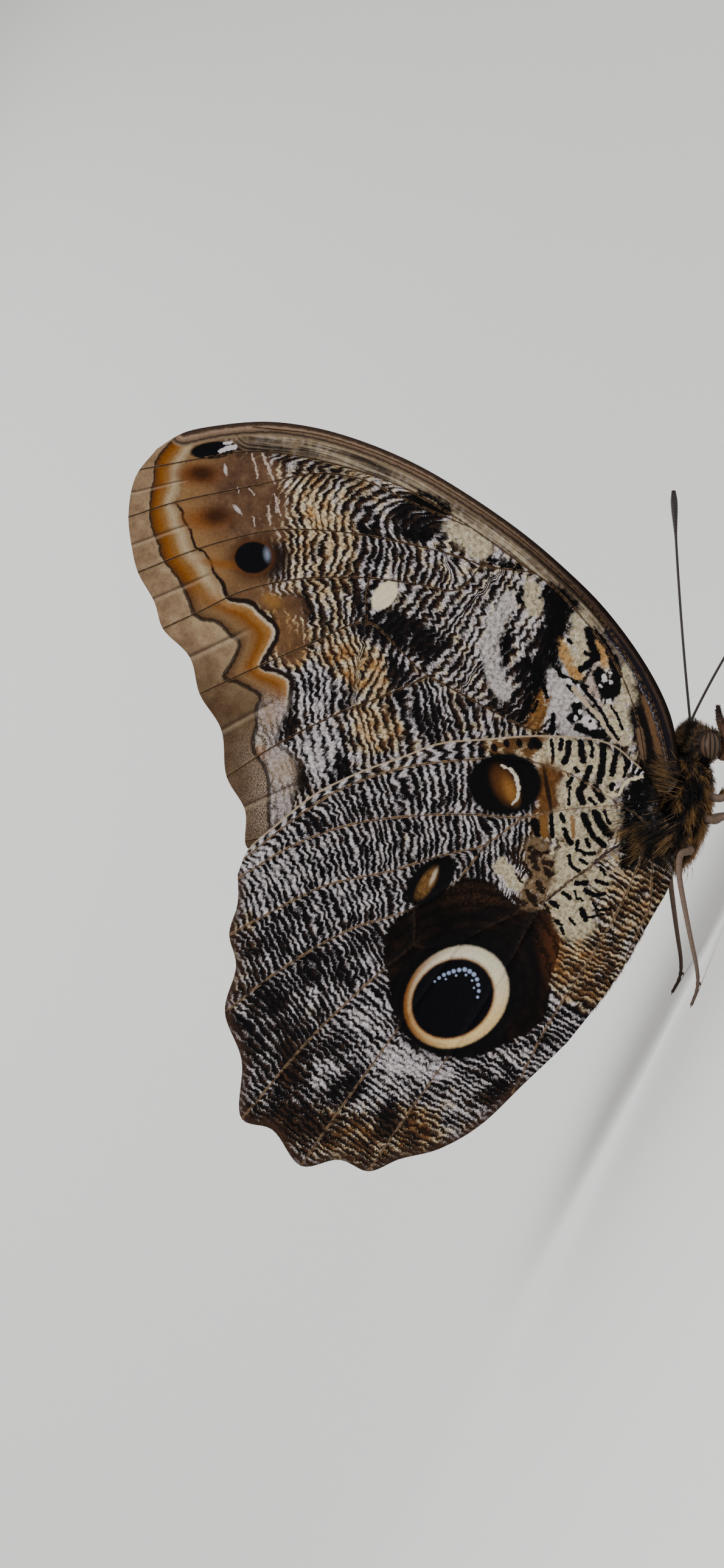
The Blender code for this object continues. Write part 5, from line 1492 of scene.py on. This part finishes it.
thorax_fur = fur_paint("thorax_fur", 0.66, 0.545, 0.034, rgb(11, 10, 13), rgb(134, 100, 60))
head_fur = fur_paint("head_fur", 0.9, 0.5, 0.02, rgb(36, 30, 27), rgb(120, 96, 70))
abdomen_hair = fur_paint("abdomen_hair", 0.5, 0.47, 0.03, rgb(50, 37, 28), rgb(112, 86, 60))
wing_root_hair = fur_paint("wing_root_hair", 0.6, 0.55, 0.0, rgb(13, 11, 11), rgb(104, 78, 48))
skin_paint = mottled_skin("trunk_skin", rgb(46, 32, 24), 0.7)

# %% The trunk
SIDES = 56
TAIL_END, NECK, BODY_RINGS, HEAD_RINGS = -26.9, 6.5, 190, 40
bends = np.linspace(math.acos(2.0 / HEAD["length"]), 0.97 * math.pi, HEAD_RINGS)
front = HEAD["x"] - HEAD["length"] * np.cos(bends)
places = np.concatenate([np.linspace(TAIL_END, NECK, BODY_RINGS), front[1:]])
turns = np.linspace(0, 2 * math.pi, SIDES, endpoint=False)
rings = [trunk_point(np.full(SIDES, x), turns) for x in places]
guides = np.stack([np.repeat(places, SIDES), np.tile(turns, len(places)), np.zeros(SIDES * len(places))], 1)
skin = (*lofted(rings), guides)
trunk = add_piece("trunk_skin", [skin], skin_paint, "body_fur", "thorax", "abdomen", "head")
print("trunk faces:", len(trunk.data.polygons))

EYE = {"centre": (8.9, 1.75, -0.25), "radii": (1.65, 1.2, 1.3), "tilt": math.radians(26.6)}


def eye_local(points, side):
    """Places measured in the eye's own radii: along it, out of the head, and across it."""
    offset = points - np.array((EYE["centre"][0], side * EYE["centre"][1], EYE["centre"][2]))
    long = offset[:, 0] * math.cos(EYE["tilt"]) + offset[:, 2] * math.sin(EYE["tilt"])
    wide = -offset[:, 0] * math.sin(EYE["tilt"]) + offset[:, 2] * math.cos(EYE["tilt"])
    return np.stack([long, side * offset[:, 1], wide], 1) / np.array(EYE["radii"])


COMBED_OUT, FULL_WIDTH, EYE_CLEARANCE = 0.12, 3.2, 1.12


def furry_trunk(name, count, low, high, length, width, lean, comb, paint, seed):
    """Fur on one length of the trunk, thicker where the trunk is wider and none over the eyes."""
    draws = np.random.default_rng(seed)
    x = draws.uniform(low, high, count * 3)
    keep = draws.uniform(size=len(x)) < trunk_section(x)[0] / FULL_WIDTH
    x = x[keep][:count]
    turn = draws.uniform(0, 2 * math.pi, len(x))
    roots, outs = trunk_frame(x, turn)
    clear = np.min([np.linalg.norm(eye_local(roots, side), axis=1) for side in (-1, 1)], axis=0) > EYE_CLEARANCE
    roots, outs, x, turn = roots[clear], outs[clear], x[clear], turn[clear]
    places = np.stack([0.01 + 0.98 * turn / (2 * math.pi), 0.01 + 0.98 * (x - low) / (high - low)], 1)
    way = np.array(comb) + np.outer(np.cos(turn), (0.0, COMBED_OUT, 0.0))
    return add_fur(name, roots, outs, way, length, width, lean, places, draws, paint)


furry_trunk("thorax_coat", count=13000, low=-7.2, high=6.6, length=1.35, width=0.085, lean=0.45,
            comb=(-0.85, 0.0, -0.25), paint=thorax_fur, seed=11)
furry_trunk("head_coat", count=5200, low=6.4, high=10.75, length=0.85, width=0.07, lean=0.35,
            comb=(0.1, 0.0, 0.5), paint=head_fur, seed=12)
furry_trunk("abdomen_coat", count=12000, low=-26.9, high=-6.4, length=0.75, width=0.07, lean=0.7,
            comb=(-1.0, 0.0, -0.08), paint=abdomen_hair, seed=13)

# %% [markdown]
# Long hair also covers the roots of the wings, combed out along them, and hides where they are hinged.

# %% Hair on the wing roots
COMBED_FROM = (4.0, -4.0)


def wing_root_fur(name, side_of, middle, spread, count, side, seed):
    draws = np.random.default_rng(seed)
    flat = np.array(middle) + draws.normal(size=(count, 2)) * np.array(spread)
    roots = np.stack([flat[:, 0], side * (side_of(flat) + MEMBRANE / 2), flat[:, 1]], 1)
    outs = np.tile((0.0, side * 1.0, 0.0), (count, 1))
    way = unit(flat - np.array(COMBED_FROM))
    comb = np.stack([way[:, 0], np.zeros(count), way[:, 1]], 1)
    places = 0.05 + 0.9 * (flat - flat.min(axis=0)) / (flat.max(axis=0) - flat.min(axis=0))
    add_fur(name, roots, outs, comb, length=1.5, width=0.07, lean=0.86, map_places=places, draws=draws,
            paint=wing_root_hair)


for side, hand in HANDS:
    wing_root_fur(f"hindwing_root_hair_{hand}", hindwing_side, middle=(-4.6, 1.2), spread=(1.6, 2.0),
                  count=1500, side=side, seed=21)
    wing_root_fur(f"forewing_root_hair_{hand}", forewing_side, middle=(2.2, 3.6), spread=(1.3, 1.1),
                  count=900, side=side, seed=22)

# %% [markdown]
# The eyes are smooth and glossy, with thin pale lines that run along them.

# %% Eyes
EYE_ROWS, EYE_SIDES = 30, 40
eye_paint, wires = new_material("eye")
long, out, wide = wires.parts("guide")
narrowing = wires.math("SQRT", wires.math("SUBTRACT", 1.25, wires.times(long, long)))
lines = wires.math("SINE", wires.times(wires.math("DIVIDE", wide, narrowing), 15.0))
brown = wires.blend(wires.step(lines, 0.1, 0.85), rgb(78, 61, 48), rgb(24, 17, 13))
wires.shade(Base_Color=wires.blend(wires.step(out, 0.1, 0.4, 1.0, 0.0), brown, rgb(48, 34, 26)), Roughness=0.5,
            Specular_IOR_Level=0.12, Coat_Weight=0.06, Coat_Roughness=0.2)
around = np.linspace(0, 2 * math.pi, EYE_SIDES, endpoint=False)
level = np.ones(EYE_SIDES)
ball = [np.stack([math.sin(p) * np.cos(around), math.cos(p) * level, math.sin(p) * np.sin(around)], 1)
        for p in (np.arange(EYE_ROWS) + 0.5) / EYE_ROWS * math.pi]
for side, hand in HANDS:
    rings = []
    for ring in ball:
        long, out, wide = (ring * np.array(EYE["radii"])).T
        ahead, up = math.cos(EYE["tilt"]), math.sin(EYE["tilt"])
        x, y, z = EYE["centre"]
        rings.append(np.stack([x + long * ahead - wide * up, side * (y + out),
                               z + long * up + wide * ahead], 1))
    add_piece(f"eye_{hand}_ball", [(*lofted(rings), np.vstack(ball))], eye_paint, "eye", f"eye_{hand}")

# %% [markdown]
# Palps, tongue and feelers. The palps bend up in front of the face, the tongue is rolled between them, and
# the feelers are thin, finely ringed shafts that swell to a slender club.

# %% Palps, tongue and feelers
PALP = (((8.0, 1.15, -2.25), 0.42), ((9.5, 1.1, -2.3), 0.54), ((11.3, 1.08, -1.15), 0.56),
        ((12.5, 0.95, 0.1), 0.42), ((13.7, 0.85, 0.9), 0.14))
COIL_CENTRE, COIL_TURNS = (8.9, -3.35), 2.4
FEELERS = {"right": {"side": -1.0, "rise": 3.0, "bend": -0.55, "splay": 21.0},
           "left": {"side": 1.0, "rise": 28.5, "bend": -0.1, "splay": 22.0}}
FEELER_ROOT = math.radians(38)
FEELER_LENGTH, FEELER_STEPS = 31.0, 60
SHAFT_RADIUS, CLUB_RADIUS = 0.17, 0.46


def banded_paint(label, near, far, ring, ring_length, roughness):
    """A finish that changes from one end of a tube to the other, with a thin ring at every segment."""
    made, wires = new_material(label)
    along, _, share = wires.parts("guide")
    colour = wires.blend(wires.step(share, 0.55, 1.0), near, far)
    turn = wires.math("FRACT", wires.math("DIVIDE", along, ring_length))
    colour = wires.blend(wires.step(turn, 0.0, 0.22, 0.55, 0.0), colour, ring)
    wires.shade(Base_Color=colour, Roughness=roughness, Specular_IOR_Level=0.3)
    return made


palp_paint = banded_paint("palp_scales", rgb(96, 66, 46), rgb(40, 28, 26), rgb(84, 58, 40), 0.7, 0.75)
horn_paint = banded_paint("horny_skin", rgb(30, 23, 20), rgb(24, 18, 16), rgb(92, 78, 66), 0.42, 0.45)
leg_paint = banded_paint("leg_skin", rgb(98, 80, 67), rgb(76, 60, 50), rgb(68, 54, 46), 0.95, 0.65)
palp_hair = fur_paint("palp_hair", 0.6, 0.5, 0.0, rgb(44, 31, 26), rgb(104, 72, 48))
foreleg_hair = fur_paint("foreleg_hair", 0.6, 0.42, 0.0, rgb(66, 46, 28), rgb(128, 92, 52))


def furry_tube(name, path, radii, count, length, comb, paint, seed):
    """Short fur all over a tube."""
    draws = np.random.default_rng(seed)
    t = draws.uniform(0, 1, count) * (len(path) - 1)
    turn = draws.uniform(0, 2 * math.pi, count)
    k = np.minimum(t.astype(int), len(path) - 2)
    centre = path[k] + (t - k)[:, None] * (path[k + 1] - path[k])
    ahead = unit(path[k + 1] - path[k])
    across = np.cross(ahead, (0.0, 0.0, 1.0))
    across /= np.linalg.norm(across, axis=1)[:, None] + 1e-9
    outs = np.cos(turn)[:, None] * across + np.sin(turn)[:, None] * np.cross(across, ahead)
    roots = centre + np.interp(t, np.arange(len(path)), radii)[:, None] * outs
    places = np.stack([0.02 + 0.95 * turn / (2 * math.pi), 0.02 + 0.95 * t / (len(path) - 1)], 1)
    add_fur(name, roots, outs, comb * ahead, length, width=0.055, lean=0.6, map_places=places, draws=draws,
            paint=paint)


for side, hand in HANDS:
    path = spline([(x, side * y, z) for (x, y, z), _ in PALP], 0.4)
    radii = np.interp(np.linspace(0, 1, len(path)), np.linspace(0, 1, len(PALP)), [r for _, r in PALP])
    skin = tube(path, radii - 0.07, 14, 0.85)
    add_piece(f"palp_{hand}_skin", [skin], palp_paint, "palp_scales", f"palp_{hand}")
    furry_tube(f"palp_{hand}_coat", path, radii - 0.09, 1300, 0.34, 1.0, palp_hair, 31)

t = np.linspace(0, 1, 90)
turn, reach = math.pi * 0.55 + 2 * math.pi * COIL_TURNS * t, 0.98 - 0.8 * t
coil = np.stack([COIL_CENTRE[0] + reach * np.cos(turn), 0 * t, COIL_CENTRE[1] + reach * np.sin(turn)], 1)
add_piece("tongue_coil", [tube(coil, 0.16 - 0.08 * t, 10)], horn_paint, "horny_skin", "proboscis")

for hand, feeler in FEELERS.items():
    outward = Vector((math.cos(FEELER_ROOT), feeler["side"] * 0.28, math.sin(FEELER_ROOT)))
    outward = np.array(outward.normalized())
    reach = outward * (HEAD["length"], HEAD["width"], HEAD["height"])
    middle = np.array((HEAD["x"], 0.0, HEAD["z"]))
    path = [middle + reach * (0.85, 0.9, 0.85), middle + 1.06 * reach + 0.3 * outward]
    radii = [SHAFT_RADIUS * 1.9, SHAFT_RADIUS * 1.6]
    spread = math.radians(feeler["splay"]) * feeler["side"]
    for k in range(1, FEELER_STEPS + 1):
        t = k / FEELER_STEPS
        slope = math.radians(feeler["rise"] + feeler["bend"] * FEELER_LENGTH * t)
        flat = math.cos(slope)
        way = np.array((flat * math.cos(spread), flat * math.sin(spread), math.sin(slope)))
        path.append(path[-1] + way * FEELER_LENGTH / FEELER_STEPS)
        club = float(smooth_step(7.0, 1.5, FEELER_LENGTH * (1 - t))) * (1 - 0.6 * max(0.0, t - 0.96) / 0.04)
        radii.append(SHAFT_RADIUS + (CLUB_RADIUS - SHAFT_RADIUS) * club)
    add_piece(f"feeler_{hand}", [tube(path, radii, 10)], horn_paint, "horny_skin", f"antenna_{hand}")

# %% [markdown]
# The legs. Corners of the joint lines are cut again and again until they bend smoothly. The shin ends in two
# spurs, the foot is made of short joints and ends in two claws, and it lies flat on the floor.

# %% Legs
LEGS = {
    "midleg": ((0.7, 30.0), (((1.7, 5.6, -5.1), 0.42), ((4.6, 9.7, -10.2), 0.34), ((5.9, 10.6, -11.12), 0.27),
                             ((9.2, 12.6, -11.14), 0.24))),
    "hindleg": ((-3.6, 48.0), (((-5.0, 5.5, -1.9), 0.45), ((-12.6, 8.6, -7.3), 0.36),
                               ((-17.6, 10.9, -11.1), 0.27), ((-20.4, 12.6, -11.14), 0.24))),
    "foreleg": ((3.4, 24.0), (((5.7, 2.0, -5.3), 0.42), ((7.6, 1.95, -5.0), 0.36), ((9.3, 1.6, -4.4), 0.24))),
}
HIP = {"bend": 1.3, "radius": 0.5, "sunk": 1.0}
LEG_SLIM, FOOT_JOINT = 0.84, 0.95


def thorax_root(x, degrees):
    """A point on the solid thorax and the way straight out from there."""
    turn = math.radians(degrees)
    width, height = THORAX["width"] * float(thorax_scale(x)), THORAX["bottom"] * float(thorax_scale(x))
    out = np.array((0.0, math.sin(turn) / width, -math.cos(turn) / height))
    point = np.array((x, width * math.sin(turn), THORAX["rise"] * x - height * math.cos(turn)))
    return point, unit(out)


def cut_corners(rows, times=3):
    for _ in range(times):
        inner = [share * a + (1 - share) * b for a, b in zip(rows, rows[1:]) for share in (0.75, 0.25)]
        rows = [rows[0]] + inner[1:-1] + [rows[-1]]
    return np.array(rows)


def spike(start, way, length, radius):
    path = [np.array(start) + length * t * np.array(way) for t in (0.0, 0.4, 0.75, 1.0)]
    return tube(path, [radius, radius * 0.8, radius * 0.45, radius * 0.08], 7)


for name, (root, joints) in LEGS.items():
    point, out = thorax_root(*root)
    corners = [(*(point - HIP["sunk"] * out), HIP["radius"]), (*(point + HIP["bend"] * out), HIP["radius"])]
    corners += [(*p, r * LEG_SLIM) for p, r in joints]
    rows = cut_corners([np.array(c) for c in corners])
    steps = np.linspace(0, len(rows) - 1, 90)
    rows = np.stack([np.interp(steps, np.arange(len(rows)), rows[:, k]) for k in range(4)], 1)
    line, ankle = rows[:, :3], np.array(joints[-2][0])
    toe, along = unit(line[-1] - line[-6]), reached(line)
    foot_share = smooth_step(along[-1] - 4.6, along[-1] - 3.6, along)
    radii = rows[:, 3] * (1 + 0.13 * foot_share * np.cos(2 * math.pi * along / FOOT_JOINT))
    for side, hand in HANDS:
        mirror = np.array((1.0, side * 1.0, 1.0))
        path = line * mirror
        parts = [tube(path, radii, 12)]
        if name == "foreleg":
            furry_tube(f"foreleg_{hand}_coat", path[20:], radii[20:] * 0.9, 1500, 0.75, 0.8, foreleg_hair,
                       41)
        else:
            for tilt in (-0.5, 0.5):
                way = toe + tilt * np.array((0.0, 0.5, 0.6))
                way[2] -= 0.25
                parts.append(spike(ankle * mirror, unit(way) * mirror, 0.9, 0.09))
                hook = toe + 2 * tilt * np.array((-toe[1], toe[0], 0.0)) * 0.6
                parts.append(spike((line[-1] - 0.05 * toe) * mirror, unit(hook) * mirror, 0.5, 0.1))
        lowest = np.array((-np.inf, -np.inf, -FLOOR_BELOW))
        pieces = [(np.maximum(points, lowest), faces, guides) for points, faces, guides in parts]
        slot = "foreleg_fur" if name == "foreleg" else "leg_skin"
        add_piece(f"{name}_{hand}_skin", pieces, leg_paint, slot, f"{name}_{hand}")
